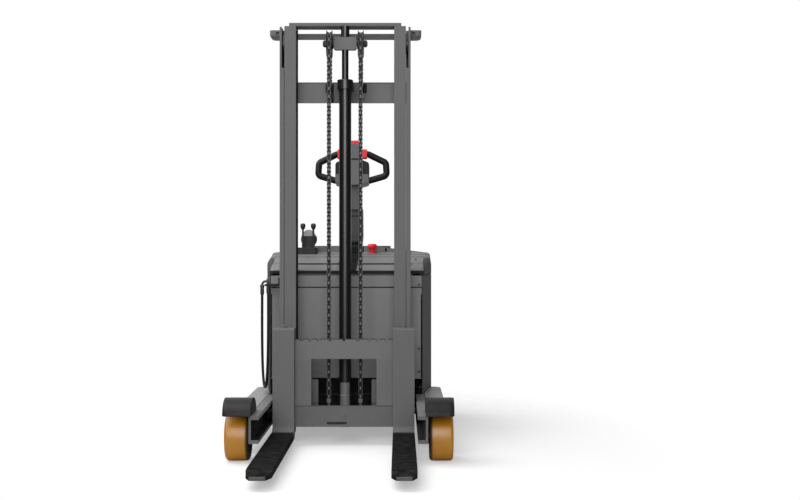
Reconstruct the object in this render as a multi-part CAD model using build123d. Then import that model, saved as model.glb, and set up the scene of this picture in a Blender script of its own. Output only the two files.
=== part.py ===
from build123d import *
import math
import os

os.makedirs("parts", exist_ok=True)

# A stand-on electric reach forklift, in millimetres.
# While modelling, X is across the truck, Y runs from the load-wheel axle back to the operator and Z is up
# from the floor; the forks point to -Y. When a piece is written, Y moves so that the origin is in the middle
# of the length.

# Driving dimensions: whole truck
WHEELBASE = 1370.0
TRUCK_WIDTH = 980.0
MAST_HEIGHT = 1984.0
REAR_OVERHANG = 190.0
PLATFORM_REACH = 400.0

# Running and seating clearances
SHAFT_CLEAR = 0.05
SLIDE_CLEAR = 0.3
ROLLER_CLEAR = 0.5

# Forks and fork carriage
FORK_LENGTH = 1070.0
FORK_WIDTH = 100.0
BLADE_THICK = 38.0
BLADE_TIP_THICK = 14.0
SHANK_THICK = 42.0
FORK_BOTTOM = 36.0
FORK_CENTRE = 277.0
FORK_HEEL_Y = 354.0
FORK_TOP = 546.0
BAR_THICK = 40.0
BAR_HALF = 325.0
LOWER_BAR = (88.0, 183.0)
UPPER_BAR = (403.0, 494.0)
WINDOW_HALF = 151.0
UPRIGHT_OUT = 229.0
NOTCH_PLACES = (0.0, 65.0, 120.0, 158.0, 197.0)
NOTCH_WIDTH = 12.0
NOTCH_DEPTH = 9.0
HOOK_LIP = 14.0
HOOK_DEPTH = 22.0
CHEEK_Z = (120.0, 455.0)

# Mast rails
RAIL_FRONT = 522.0
RAIL_DEPTH = 120.0
RAIL_FLANGE = 14.0
RAIL_WEB = 10.0
OUTER_RAIL_OUT = 310.5
OUTER_RAIL_IN = 289.0
INNER_RAIL_OUT = 288.0
INNER_RAIL_IN = 232.0
INNER_WEB_IN = 262.0
OUTER_RAIL_BOTTOM = 100.0
OUTER_RAIL_DROP = 19.0
INNER_RAIL_BOTTOM = 112.0
TOP_PLATE = 15.0
ROLLER_CUT = 195.0
ROLLER_WIDTH = 23.0
STUD_RADIUS = 16.0
MID_BEAM_DROP = 266.0
MID_BEAM_HEIGHT = 100.0
BOTTOM_BEAM = (112.0, 290.0)
BEAM_THICK = 12.0
TIE_DROP = 27.0
TIE_HEIGHT = 28.0
TIE_LUG_HEIGHT = 34.0
TIE_LUG_OUT = 362.0
TIE_BACK = 680.0

# Lift cylinder, crosshead and chains
LIFT_Y = 532.0
BARREL_RADIUS = 29.0
BARREL_BORE = 22.0
BARREL_DROP = 315.0
BARREL_BOTTOM = 130.0
BASE_THICK = 18.0
GLAND_RADIUS = 37.5
GLAND_HEIGHT = 46.0
ROD_RADIUS = 16.0
ROD_BOTTOM = 210.0
STEM_RADIUS = 20.5
CROSSHEAD_HALF = 54.0
CROSSHEAD_DROP = 68.0
CROSSHEAD_HEIGHT = 60.0
CROSSHEAD_DEPTH = 36.0
WHEEL_PIN_RADIUS = 12.0
WHEEL_PIN_OUT = 106.0
CHAIN_X = 74.3
CHAIN_PITCH = 19.05
CHAIN_TEETH = 16
CHAIN_ROLLER = 5.9
CHAIN_BAR = 5.2
CHAIN_INNER_HALF = 6.0
CHAIN_PLATE = 2.3
CHAIN_PLATE_HEIGHT = 17.0
CHAIN_LOW = 210.0
REAR_LINKS = 10

# Reach rollers and reach cylinder
REACH_ROLLER_FRONT = 510.0
REACH_ROLLER_REAR = 842.0
REACH_Z = 87.0
REACH_RADIUS = 20.0
REACH_BORE = 15.0
REACH_ROD = 10.0
REACH_EYE = 16.0
REACH_FRONT = 570.0
REACH_AHEAD = 136.0
REACH_PISTON = 30.0
REACH_EYE_Y = 512.0

# Straddle legs, load wheels and fenders
CHANNEL_TIP = 336.0
LEG_WEB_OUT = 378.0
LEG_WEB = 10.0
LEG_OUT = 466.0
LEG_BOTTOM = 91.0
LEG_TOP = 208.0
LEG_FLANGE = 16.0
LEG_WALL = 8.0
LEG_FRONT = -135.0
LEG_BOX_FRONT = 150.0
CHANNEL_REAR = 1060.0
LEG_SETBACK = 50.0
LOAD_RADIUS = 105.0
LOAD_WIDTH = 102.0
LOAD_OUT = 488.0
LOAD_RIM = 80.0
AXLE_RADIUS = 19.0
AXLE_BOSS = 34.0
FENDER_HALF = 97.0
FENDER_CLEAR = 6.0
FENDER_TOP = 275.0
FENDER_THICK = 4.0
FENDER_IN = 369.0

# Chassis and covers
FLOOR_BOTTOM = 236.0
FLOOR_THICK = 8.0
FLOOR_FRONT = 668.0
FLOOR_HALF = 352.0
SIDE_PLATE_IN = 378.0
SIDE_PLATE_THICK = 12.0
SIDE_PLATE_TOP = 640.0
CHASSIS_BOTTOM = 60.0
FRONT_HALF = 370.0
FRONT_Y = 654.0
BODY_HALF = 420.0
TAPER_Y = 1009.0
PANEL_Y = 660.0
PANEL_HALF = 366.0
PANEL_BOTTOM = 284.0
PANEL_SEAM = 727.0
PANEL_RELIEF = (288.0, 695.0)
SHEET = 4.0
SEAM = 3.0
JOINT_WIDTH = 5.0
JOINT_DEPTH = 3.0
SKIRT_BOTTOM = 238.0
SKIRT_DROP = 120.0
BONNET_BOTTOM = 787.0
BONNET_LIP = 812.0
BONNET_SHEET = 6.0
BONNET_AHEAD = 130.0
BONNET_FLAT = 30.0
BONNET_ROUND = 34.0
LIP_ROLL = 8.0
LIP_GAP = 19.0
STRIP_HALF = 48.0
STRIP_DEPTH = 3.0
CONSOLE_TOP = 897.0
DASH_SIDE = 893.0
DASH_ROUND = 20.0
CROWN_HALF = 137.0
RIM_TOP = 926.5
RIM_BEAD = 4.0
WELL_HALF = 195.0
WELL_AHEAD = 108.0
REAR_ROUND = 80.0
REAR_SKIN = 8.0

# Drive unit, casters and platform
DRIVE_RADIUS = 115.0
DRIVE_WIDTH = 76.0
TURN_RADIUS = 130.0
MOTOR_RADIUS = 85.0
MOTOR_TOP = 520.0
MOTOR_FOOT = 292.0
DRIVE_RIM = 84.0
CASTER_X = 255.0
CASTER_BACK = 60.0
CASTER_RADIUS = 62.5
CASTER_WIDTH = 40.0
CASTER_TRAIL = 38.0
KING_RADIUS = 10.0
CONTROLLER_X = 274.0
CONTROLLER_BACK = 117.0
BATTERY_TOP = 742.0
PUMP_X = -270.0
PUMP_BACK = 122.0
PUMP_RADIUS = 62.0
PUMP_TOP = 622.0
TANK_HALF = 78.0
TANK_TOP = 420.0
PLATFORM_HALF = 260.0
PLATFORM_HINGE_BACK = 32.0
PLATFORM_HINGE_Z = 150.0
PLATFORM_PIN = 8.0
LUG_IN = 262.0
LUG_THICK = 14.0

# Tiller
TILLER_PIVOT_Z = 905.0
TILLER_LEAN = 10.0
PIVOT_RADIUS = 10.0
YOKE_OUT = 38.0
YOKE_IN = 24.0
HEAD_HALF = 92.0
HEAD_LOW = 352.0
HEAD_TOP = 584.0
NECK_HALF = 46.0
NECK_LOW = 516.0
GRIP_OUT = 187.0
HANDLE_RADIUS = 18.0
ROCKER_Y = -38.0
ROCKER_Z = 527.0
WING_HALF = 27.0
ROCKER_SHAFT = 6.0
SWITCH_Z = 440.0
SWITCH_PIN_Y = 33.0
SWITCH_PIN = 3.0

# Controls on the body
ESTOP_X = 114.0
ESTOP_AHEAD = 50.0
LEVER_AHEAD = 70.0
LEVER_POD_DEPTH = 20.0
LEVER_XS = (-250.0, -195.0)
LEVER_STICK = 6.0
LEVER_PIVOT_Z = 906.0

# Hoses, from the elbow on the left side panel to the bracket on the mast
HOSE_RADIUS = 6.5
HOSE_TOP = 735.0
HOSE_MAST_Y = 600.0
HOSE_SHIFT = (-3.0, 26.0)
ELBOW_RISE = 30.0
ELBOW_RADIUS = 18.0
HOSE_ROUTE = (
    (-421.5, 784.0, 723.0),
    (-422.0, 784.5, 610.0),
    (-422.0, 785.5, 490.0),
    (-421.0, 785.0, 400.0),
    (-419.0, 783.5, 330.0),
    (-415.0, 771.5, 284.0),
    (-408.0, 738.0, 250.5),
    (-397.5, 692.0, 238.0),
    (-387.0, 646.0, 250.5),
    (-380.0, 612.5, 284.0),
    (-376.0, 600.5, 330.0),
    (-373.5, 599.0, 400.0),
    (-372.0, 598.5, 490.0),
    (-371.5, 599.5, 610.0),
    (-372.0, 600.0, 734.7),
)

# Values that follow from the ones above
STEER_Y = WHEELBASE
BODY_REAR = WHEELBASE + REAR_OVERHANG
BONNET_REAR = WHEELBASE - BONNET_AHEAD
BONNET_CREST = BONNET_REAR - BONNET_FLAT
BONNET_SLOPE = (CONSOLE_TOP - BONNET_LIP) / (BONNET_CREST - FRONT_Y - LIP_ROLL)
BONNET_JOINTS = (FRONT_Y + 196, BONNET_CREST - 158, BONNET_CREST - 70)
WELL_FRONT = WHEELBASE - WELL_AHEAD
CASTER_Y = WHEELBASE + CASTER_BACK
PLATFORM_HINGE_Y = BODY_REAR + PLATFORM_HINGE_BACK
ESTOP_Y = BONNET_REAR - ESTOP_AHEAD
LEVER_Y = BONNET_REAR - LEVER_AHEAD
REACH_REAR = WHEELBASE - REACH_AHEAD
LEG_BOX_REAR = CHANNEL_REAR - LEG_SETBACK
CONTROLLER_Y = CHANNEL_REAR + CONTROLLER_BACK
PUMP_Y = CHANNEL_REAR + PUMP_BACK
OUTER_RAIL_TOP = MAST_HEIGHT - OUTER_RAIL_DROP
MID_BEAM = (MAST_HEIGHT - MID_BEAM_DROP - MID_BEAM_HEIGHT, MAST_HEIGHT - MID_BEAM_DROP)
TIE_TOP = MAST_HEIGHT - TIE_DROP
BARREL_TOP = MAST_HEIGHT - BARREL_DROP
CROSSHEAD_Z = (MAST_HEIGHT - CROSSHEAD_DROP - CROSSHEAD_HEIGHT, MAST_HEIGHT - CROSSHEAD_DROP)
PLATFORM_END = PLATFORM_HINGE_Y + PLATFORM_REACH
LENGTH = FORK_LENGTH - FORK_HEEL_Y + PLATFORM_END
ORIGIN_Y = PLATFORM_END - LENGTH / 2
RAIL_BACK = RAIL_FRONT + RAIL_DEPTH
RAIL_MID = RAIL_FRONT + RAIL_DEPTH / 2
RAIL_GAP = RAIL_DEPTH - 2 * RAIL_FLANGE
ROLLER_RADIUS = RAIL_GAP / 2 - ROLLER_CLEAR
INNER_RAIL_TOP = MAST_HEIGHT - TOP_PLATE
BAR_FRONT = FORK_HEEL_Y + SHANK_THICK + SLIDE_CLEAR
BAR_BACK = BAR_FRONT + BAR_THICK
CHAIN_PITCH_RADIUS = CHAIN_PITCH / 2 / math.sin(math.pi / CHAIN_TEETH)
CROSSHEAD_MID = sum(CROSSHEAD_Z) / 2
FRONT_LINKS = round((CROSSHEAD_MID - CHAIN_LOW) / CHAIN_PITCH)
FRONT_CHAIN_END = CROSSHEAD_MID - FRONT_LINKS * CHAIN_PITCH
REAR_CHAIN_END = CROSSHEAD_MID - REAR_LINKS * CHAIN_PITCH
CHANNEL_MID = (LEG_TOP + LEG_BOTTOM) / 2
CHANNEL_GAP = LEG_TOP - LEG_BOTTOM - 2 * LEG_FLANGE
FLOOR_TOP = FLOOR_BOTTOM + FLOOR_THICK
POST_WIDE = 26.0
POST_IN = FLOOR_HALF - 4 - POST_WIDE
FENDER_EDGE_Z = LEG_TOP + FENDER_CLEAR
HEM_BOTTOM = LEG_TOP + FENDER_CLEAR
DASH_FALL = (RIM_TOP - DASH_SIDE) / (BODY_HALF - SHEET - CROWN_HALF)
CONSOLE_CEILING = DASH_SIDE - SHEET + DASH_FALL * (BODY_HALF - SHEET - SIDE_PLATE_IN - SIDE_PLATE_THICK)


def block(x, y, z):
    """Box between the two limits given for each axis."""
    size = [high - low for low, high in (x, y, z)]
    return Pos(sum(x) / 2, sum(y) / 2, sum(z) / 2) * Box(*size)


def bar(axis, radius, span, a, b):
    """Round bar along one axis over a span; a and b are its other two coordinates, in the order x, y, z."""
    middle = sum(span) / 2
    turn = {"x": Rot(0, 90, 0), "y": Rot(90, 0, 0), "z": Rot(0, 0, 0)}[axis]
    place = {"x": Pos(middle, a, b), "y": Pos(a, middle, b), "z": Pos(a, b, middle)}[axis]
    return place * turn * Cylinder(radius, span[1] - span[0])


def outline(corners):
    """Closed flat face through corners (a, b) or (a, b, radius); a radius rounds that corner."""
    points = [Vector(c[0], c[1]) for c in corners]
    edges = []
    ends = []
    for i, corner in enumerate(corners):
        here = points[i]
        radius = corner[2] if len(corner) > 2 else 0
        if not radius:
            ends.append((here, here))
            continue
        back = (points[i - 1] - here).normalized()
        ahead = (points[(i + 1) % len(points)] - here).normalized()
        half = math.radians(back.get_angle(ahead)) / 2
        centre = here + (back + ahead).normalized() * (radius / math.sin(half))
        start = here + back * (radius / math.tan(half))
        end = here + ahead * (radius / math.tan(half))
        edges.append(ThreePointArc(start, centre + (here - centre).normalized() * radius, end))
        ends.append((start, end))
    for i in range(len(corners)):
        start = ends[i - 1][1]
        end = ends[i][0]
        if (end - start).length > 1e-6:
            edges.append(Line(start, end))
    return make_face(edges)


def plate_x(corners, x):
    """Plate over a span of x whose outline is drawn in (y, z)."""
    return Pos(x[0], 0, 0) * extrude(Plane.YZ * outline(corners), x[1] - x[0])


def plate_y(corners, y):
    """Plate over a span of y whose outline is drawn in (x, z)."""
    return Pos(0, y[1], 0) * extrude(Plane.XZ * outline(corners), y[1] - y[0])


def plate_z(corners, z):
    """Plate over a span of z whose outline is drawn in (x, y)."""
    return Pos(0, 0, z[0]) * extrude(Plane.XY * outline(corners), z[1] - z[0])


def turned(corners, y, z):
    """Solid of revolution about a line along X at (y, z); the outline is drawn in (x, radius)."""
    return Pos(0, y, z) * revolve(outline(corners), Axis.X)


def spun(corners, x, y):
    """Solid of revolution about an upright line at (x, y); the outline is drawn in (radius, z)."""
    return Pos(x, y, 0) * revolve(Plane.XZ * outline(corners), Axis.Z)


def other_side(shape):
    """The mirror image on the truck's other side."""
    return mirror(shape, Plane.YZ)


def both(shape):
    """A shape and its mirror image."""
    return [shape, other_side(shape)]


def save(name, *shapes):
    """Write one node, moved to the truck's own origin."""
    solids = [Pos(0, -ORIGIN_Y, 0) * s for shape in shapes for s in shape.solids()]
    whole = solids[0] if len(solids) == 1 else Compound(children=solids)
    export_step(whole, f"parts/{name}.step")


# Straddle legs: a roller channel open to the inside, with a box girder outside it behind the wheel

def straddle_leg():
    """Plates of one welded leg: web with the axle's boss, two flanges for the rollers, hollow girder."""
    web_in = LEG_WEB_OUT - LEG_WEB
    low, high = LEG_BOTTOM + LEG_FLANGE, LEG_TOP - LEG_FLANGE
    run = (LEG_FRONT, CHANNEL_REAR)
    web = block((web_in, LEG_WEB_OUT), run, (LEG_BOTTOM, LEG_TOP))
    upper = plate_y([(CHANNEL_TIP, high), (web_in, high), (web_in, LEG_TOP), (CHANNEL_TIP, LEG_TOP, 4)], run)
    lower = plate_y([(CHANNEL_TIP, LEG_BOTTOM, 4), (web_in, LEG_BOTTOM), (web_in, low), (CHANNEL_TIP, low)], run)
    girder = plate_z(
        [
            (LEG_WEB_OUT, LEG_BOX_FRONT),
            (LEG_OUT, LEG_BOX_FRONT, 14),
            (LEG_OUT, LEG_BOX_REAR, 45),
            (LEG_WEB_OUT, LEG_BOX_REAR),
        ],
        (LEG_BOTTOM, LEG_TOP),
    )
    hollow = plate_z(
        [
            (LEG_WEB_OUT, LEG_BOX_FRONT + LEG_WALL),
            (LEG_OUT - LEG_WALL, LEG_BOX_FRONT + LEG_WALL, 8),
            (LEG_OUT - LEG_WALL, LEG_BOX_REAR - LEG_WALL, 37),
            (LEG_WEB_OUT, LEG_BOX_REAR - LEG_WALL),
        ],
        (LEG_BOTTOM, LEG_TOP - LEG_WALL),
    )
    boss = bar("x", AXLE_BOSS, (LEG_WEB_OUT, LEG_WEB_OUT + 5), 0, LOAD_RADIUS)
    hole = bar("x", AXLE_RADIUS + SHAFT_CLEAR, (web_in - 1, LEG_WEB_OUT + 10), 0, LOAD_RADIUS)
    return [web + boss - hole, upper, lower, girder - hollow]


def load_axle():
    """Stub axle flush with the inside of the leg's web, with a collar and a nut that hold the wheel."""
    nut_out = LOAD_OUT - 4
    web_in = LEG_WEB_OUT - LEG_WEB
    shaft = bar("x", AXLE_RADIUS, (web_in, nut_out), 0, LOAD_RADIUS)
    collar = bar("x", AXLE_BOSS - 4, (LEG_WEB_OUT + 5, LEG_WEB_OUT + 9), 0, LOAD_RADIUS)
    nut = Pos(nut_out - 16, 0, LOAD_RADIUS) * Rot(0, 90, 0) * extrude(RegularPolygon(30, 6), 12)
    return shaft + collar + nut


def load_hub():
    inner = LOAD_OUT - LOAD_WIDTH
    bore = AXLE_RADIUS + SHAFT_CLEAR
    return turned(
        [
            (inner + 3, bore),
            (LOAD_OUT - 20, bore),
            (LOAD_OUT - 20, 42),
            (inner + 62, 42, 6),
            (inner + 62, LOAD_RIM - 14, 6),
            (LOAD_OUT - 4, LOAD_RIM - 14),
            (LOAD_OUT - 4, LOAD_RIM),
            (inner + 4, LOAD_RIM),
            (inner + 4, LOAD_RIM - 14),
            (inner + 36, LOAD_RIM - 14, 6),
            (inner + 36, 42, 6),
            (inner + 3, 42),
        ],
        0,
        LOAD_RADIUS,
    )


def tyre(radius, rim, inner, outer, shoulder, y, z):
    """Moulded tread with a slight crown and rounded shoulders."""
    crown = radius - 1.5
    land = 0.3 * (outer - inner)
    return turned(
        [
            (inner, rim),
            (outer, rim),
            (outer, crown, shoulder),
            (outer - land, radius),
            (inner + land, radius),
            (inner, crown, shoulder),
        ],
        y,
        z,
    )


def fender():
    """Arched guard over a load wheel, with rounded outer corners and a closed inner end on the leg."""
    edge = FENDER_EDGE_Z
    rise = FENDER_TOP - FENDER_THICK
    outer = ThreePointArc((-FENDER_HALF, edge), (0, FENDER_TOP), (FENDER_HALF, edge))
    inner = ThreePointArc((-FENDER_HALF, edge - FENDER_THICK), (0, rise), (FENDER_HALF, edge - FENDER_THICK))
    ends = [Line(outer @ 0, inner @ 0), Line(outer @ 1, inner @ 1)]
    span = TRUCK_WIDTH / 2 - FENDER_IN
    sheet = Pos(FENDER_IN, 0, 0) * extrude(Plane.YZ * make_face([outer, inner, *ends]), span)
    trim = plate_z(
        [
            (FENDER_IN, -FENDER_HALF),
            (TRUCK_WIDTH / 2, -FENDER_HALF, 22),
            (TRUCK_WIDTH / 2, FENDER_HALF, 22),
            (FENDER_IN, FENDER_HALF),
        ],
        (edge - 20, FENDER_TOP + 10),
    )
    foot = [
        Line(inner @ 0, (-FENDER_HALF, LEG_TOP)),
        Line((-FENDER_HALF, LEG_TOP), (FENDER_HALF, LEG_TOP)),
        Line((FENDER_HALF, LEG_TOP), inner @ 1),
    ]
    cheek = make_face([inner, *foot])
    return (sheet & trim) + Pos(FENDER_IN, 0, 0) * extrude(Plane.YZ * cheek, 5)


right_leg = straddle_leg()
save("right_leg", *right_leg)
save("left_leg", *[other_side(plate) for plate in right_leg])
save("load_axles", *both(load_axle()))
right_hub = load_hub()
save("right_load_hub", right_hub)
save("left_load_hub", other_side(right_hub))
right_tyre = tyre(LOAD_RADIUS, LOAD_RIM, LOAD_OUT - LOAD_WIDTH, LOAD_OUT, 14, 0, LOAD_RADIUS)
save("right_load_tyre", right_tyre)
save("left_load_tyre", other_side(right_tyre))
right_fender = fender()
save("right_fender", right_fender)
save("left_fender", other_side(right_fender))


def bonnet_top(y):
    """Height of the sloping bonnet at a place along the truck."""
    return min(BONNET_LIP + BONNET_SLOPE * (y - FRONT_Y - LIP_ROLL), CONSOLE_TOP)


def bonnet_under(y):
    """Height of the bonnet's inside between its front lip and the end of the taper."""
    start = FRONT_Y + BONNET_SHEET + LIP_ROLL
    share = (y - start) / (TAPER_Y - start)
    return BONNET_LIP + share * (bonnet_top(TAPER_Y) - BONNET_LIP) - BONNET_SHEET


# Chassis: floor, bulkhead, side plates and rear plate, with posts that carry the covers

def chassis_frame():
    side_out = SIDE_PLATE_IN + SIDE_PLATE_THICK
    rear = BODY_REAR - 40
    floor = plate_z(
        [
            (-FLOOR_HALF, FLOOR_FRONT),
            (FLOOR_HALF, FLOOR_FRONT),
            (FLOOR_HALF, CHANNEL_REAR),
            (SIDE_PLATE_IN, CHANNEL_REAR),
            (SIDE_PLATE_IN, rear),
            (-SIDE_PLATE_IN, rear),
            (-SIDE_PLATE_IN, CHANNEL_REAR),
            (-FLOOR_HALF, CHANNEL_REAR),
        ],
        (FLOOR_BOTTOM, FLOOR_TOP),
    )
    turntable = bar("z", TURN_RADIUS, (FLOOR_BOTTOM - 1, FLOOR_TOP + 1), 0, STEER_Y)
    bulkhead = block((-side_out, side_out), (CHANNEL_REAR, CHANNEL_REAR + 12), (LEG_BOTTOM, 420))
    arch = bar("y", 45, (CHANNEL_REAR - 5, CHANNEL_REAR + 30), 0, REACH_Z)
    gap = block((-45, 45), (CHANNEL_REAR - 5, CHANNEL_REAR + 30), (REACH_Z - 60, REACH_Z))
    side = plate_x(
        [
            (LEG_BOX_REAR, LEG_BOTTOM, 10),
            (rear - 160, LEG_BOTTOM),
            (rear, CHASSIS_BOTTOM + 70),
            (rear, SIDE_PLATE_TOP, 30),
            (CHANNEL_REAR + 60, SIDE_PLATE_TOP, 30),
            (LEG_BOX_REAR, 330, 30),
        ],
        (SIDE_PLATE_IN, side_out),
    )
    back = plate_y(
        [
            (-side_out, CHASSIS_BOTTOM + 60),
            (side_out, CHASSIS_BOTTOM + 60),
            (side_out, SIDE_PLATE_TOP, 40),
            (-side_out, SIDE_PLATE_TOP, 40),
        ],
        (rear, rear + 12),
    )
    runner_y = (FLOOR_FRONT + 10, CHANNEL_REAR)
    runner = block((CHANNEL_TIP + 4, LEG_WEB_OUT - LEG_WEB - 2), runner_y, (LEG_TOP, FLOOR_BOTTOM))
    post_x = (POST_IN, POST_IN + POST_WIDE)
    seat = bonnet_under(PANEL_Y + 16)
    post = block(post_x, (PANEL_Y + SHEET, PANEL_Y + 46), (FLOOR_BOTTOM, BONNET_BOTTOM))
    post += block(post_x, (PANEL_Y + 16, PANEL_Y + 40), (BONNET_BOTTOM, seat))
    stay_y = (BONNET_REAR + 60, BONNET_REAR + 120)
    stay = block((SIDE_PLATE_IN, side_out), stay_y, (SIDE_PLATE_TOP - 20, CONSOLE_CEILING))
    pad = block((200, 240), (rear + 12, BODY_REAR - REAR_SKIN), (480, 560))
    lug = plate_x(
        [
            (rear + 12, PLATFORM_HINGE_Z - 34),
            (PLATFORM_HINGE_Y, PLATFORM_HINGE_Z - 22),
            (PLATFORM_HINGE_Y + 22, PLATFORM_HINGE_Z - 10, 14),
            (PLATFORM_HINGE_Y + 22, PLATFORM_HINGE_Z + 22, 14),
            (rear + 12, PLATFORM_HINGE_Z + 60),
        ],
        (LUG_IN, LUG_IN + LUG_THICK),
    )
    pin = bar("x", PLATFORM_PIN, (LUG_IN - 40, LUG_IN), PLATFORM_HINGE_Y, PLATFORM_HINGE_Z)
    for x in (-CASTER_X, CASTER_X):
        floor -= bar("z", KING_RADIUS + SHAFT_CLEAR, (FLOOR_BOTTOM - 1, FLOOR_TOP + 1), x, CASTER_Y)
    frame = floor - turntable + (bulkhead - arch - gap) + back
    for piece in (side, runner, post, stay, pad, lug, pin):
        frame += piece
        frame += other_side(piece)
    return frame


# Reach cylinder under the floor, on the centre line

def reach_barrel():
    tube = bar("y", REACH_RADIUS, (REACH_FRONT, REACH_REAR), 0, REACH_Z)
    bore = bar("y", REACH_BORE, (REACH_FRONT + 30, REACH_REAR - 20), 0, REACH_Z)
    gland = bar("y", REACH_RADIUS + 4, (REACH_FRONT, REACH_FRONT + 26), 0, REACH_Z)
    throat = bar("y", REACH_ROD + SHAFT_CLEAR, (REACH_FRONT - 5, REACH_FRONT + 40), 0, REACH_Z)
    foot = plate_y(
        [(-60, REACH_Z - 24, 8), (60, REACH_Z - 24, 8), (60, REACH_Z + 60, 8), (-60, REACH_Z + 60, 8)],
        (CHANNEL_REAR - 12, CHANNEL_REAR),
    )
    return tube + gland + foot - bore - throat


def reach_rod():
    """Rod with its piston at the back of the barrel, and the eye that pushes the mast out."""
    rear = REACH_REAR - 24
    rod = bar("y", REACH_ROD, (REACH_EYE_Y, rear), 0, REACH_Z)
    piston = bar("y", REACH_BORE - SLIDE_CLEAR, (rear - REACH_PISTON, rear), 0, REACH_Z)
    eye = bar("x", REACH_EYE, (-20, 20), REACH_EYE_Y, REACH_Z)
    neck_y = (REACH_EYE_Y - REACH_EYE + 2, REACH_EYE_Y + REACH_EYE - 2)
    neck = block((-20, 20), neck_y, (REACH_Z, BARREL_BOTTOM - BASE_THICK))
    return rod + piston + eye + neck


save("chassis_frame", chassis_frame())
save("reach_barrel", reach_barrel())
save("reach_rod", reach_rod())


# Covers

def bonnet_section(inset, y, half, top):
    """Cross-section of the bonnet at y: flat sides and rounded top corners, set in by a wall."""
    side = half - inset
    high = top - inset
    turn = min(BONNET_ROUND, 0.8 * (top - BONNET_BOTTOM)) - inset
    corners = [(-side, BONNET_BOTTOM), (side, BONNET_BOTTOM), (side, high, turn), (-side, high, turn)]
    return Pos(0, y, 0) * (Plane.XZ * outline(corners))


def bonnet_form(inset):
    """The bonnet's sloping block, lofted from the front lip past the taper's end to the dash."""
    lip = FRONT_Y + inset
    rows = [
        (lip, FRONT_HALF - 6, BONNET_LIP - 14),
        (lip + LIP_ROLL, FRONT_HALF, BONNET_LIP),
        (TAPER_Y, BODY_HALF, bonnet_top(TAPER_Y)),
        (BONNET_CREST, BODY_HALF, CONSOLE_TOP),
        (BONNET_REAR, BODY_HALF, CONSOLE_TOP),
    ]
    return loft([bonnet_section(inset, *row) for row in rows], ruled=True)


def bonnet():
    """Bonnet shell with pressed joint lines, a sunk centre strip and a finger gap under its front lip."""
    shell = bonnet_form(0) - bonnet_form(BONNET_SHEET)
    for y in BONNET_JOINTS:
        top = bonnet_top(y)
        line = (y - JOINT_WIDTH, y + JOINT_WIDTH)
        shell -= block((-BODY_HALF, BODY_HALF), line, (top - JOINT_DEPTH, top + 30))
    front = FRONT_Y + 26
    floor = [(y, bonnet_top(y) - STRIP_DEPTH) for y in (front, BONNET_CREST, BONNET_REAR + 1)]
    above = [(BONNET_REAR + 1, CONSOLE_TOP + 20), (front, CONSOLE_TOP + 20)]
    strip = plate_x(floor + above, (-STRIP_HALF, STRIP_HALF))
    gap = (FRONT_Y - 1, FRONT_Y + BONNET_SHEET + 1)
    shell -= block((-FRONT_HALF + 12, FRONT_HALF - 12), gap, (BONNET_BOTTOM - 1, BONNET_BOTTOM + LIP_GAP))
    hole = bar("z", 15 + SLIDE_CLEAR, (CONSOLE_TOP - 40, CONSOLE_TOP + 10), ESTOP_X, ESTOP_Y)
    return shell - strip - hole


def side_panel():
    """Tapered side skirt that drops behind the leg, with a turned-in foot that stands on the chassis."""
    top = BONNET_BOTTOM - SEAM
    rear = BODY_REAR - REAR_ROUND
    taper = (BODY_HALF - FRONT_HALF) / (TAPER_Y - FRONT_Y)
    skin = plate_z(
        [
            (FRONT_HALF - 2, FRONT_Y + 10),
            (FRONT_HALF + 10 * taper, FRONT_Y + 10),
            (BODY_HALF, TAPER_Y, 80),
            (BODY_HALF, rear),
            (BODY_HALF - SHEET, rear),
            (BODY_HALF - SHEET, TAPER_Y, 80),
            (FRONT_HALF - 2 + 4 * taper, FRONT_Y + 14),
        ],
        (HEM_BOTTOM, top),
    )
    drop = plate_x(
        [
            (LEG_BOX_REAR + 8, SKIRT_DROP, 20),
            (rear - 120, SKIRT_DROP, 60),
            (rear, SKIRT_BOTTOM),
            (LEG_BOX_REAR + 8, SKIRT_BOTTOM),
        ],
        (BODY_HALF - SHEET, BODY_HALF),
    )
    foot = plate_z(
        [
            (FLOOR_HALF, FLOOR_FRONT + 14),
            (FRONT_HALF + 4, FLOOR_FRONT + 14),
            (BODY_HALF - 2, TAPER_Y),
            (BODY_HALF - 2, rear),
            (SIDE_PLATE_IN + SIDE_PLATE_THICK, rear),
            (SIDE_PLATE_IN + SIDE_PLATE_THICK, LEG_BOX_REAR - 6),
            (FLOOR_HALF, LEG_BOX_REAR - 6),
        ],
        (SKIRT_BOTTOM, SKIRT_BOTTOM + SHEET),
    )
    return skin + drop + foot


def front_panel():
    """Pressed front cover with turned-back sides, a joint line and a set-back ledge under the bonnet's lip."""
    top = BONNET_BOTTOM - SEAM
    inner = PANEL_HALF - SHEET
    shell = plate_z(
        [
            (-PANEL_HALF, PANEL_Y + 30),
            (-PANEL_HALF, PANEL_Y, 6),
            (PANEL_HALF, PANEL_Y, 6),
            (PANEL_HALF, PANEL_Y + 30),
            (inner, PANEL_Y + 30),
            (inner, PANEL_Y + SHEET, 2),
            (-inner, PANEL_Y + SHEET, 2),
            (-inner, PANEL_Y + 30),
        ],
        (PANEL_BOTTOM, top),
    )
    across = (-POST_IN, POST_IN)
    back = PANEL_Y + 26
    shell += block(across, (PANEL_Y + SHEET, PANEL_Y + 24), (PANEL_BOTTOM, PANEL_BOTTOM + SHEET))
    shell += block(across, (PANEL_Y + SHEET, back), (top - SHEET, top))
    shell += block(across, (back - SHEET, back), (top, BONNET_LIP - 12))
    for side in (-1, 1):
        edge = sorted((side * (PANEL_HALF - SHEET - 1), side * (PANEL_HALF + 1)))
        shell -= block(edge, (PANEL_Y - 1, PANEL_Y + 31), PANEL_RELIEF)
    joint = (PANEL_SEAM - JOINT_WIDTH / 2, PANEL_SEAM + JOINT_WIDTH / 2)
    return shell - block((-PANEL_HALF - 1, PANEL_HALF + 1), (PANEL_Y - 1, PANEL_Y + JOINT_DEPTH), joint)


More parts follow.
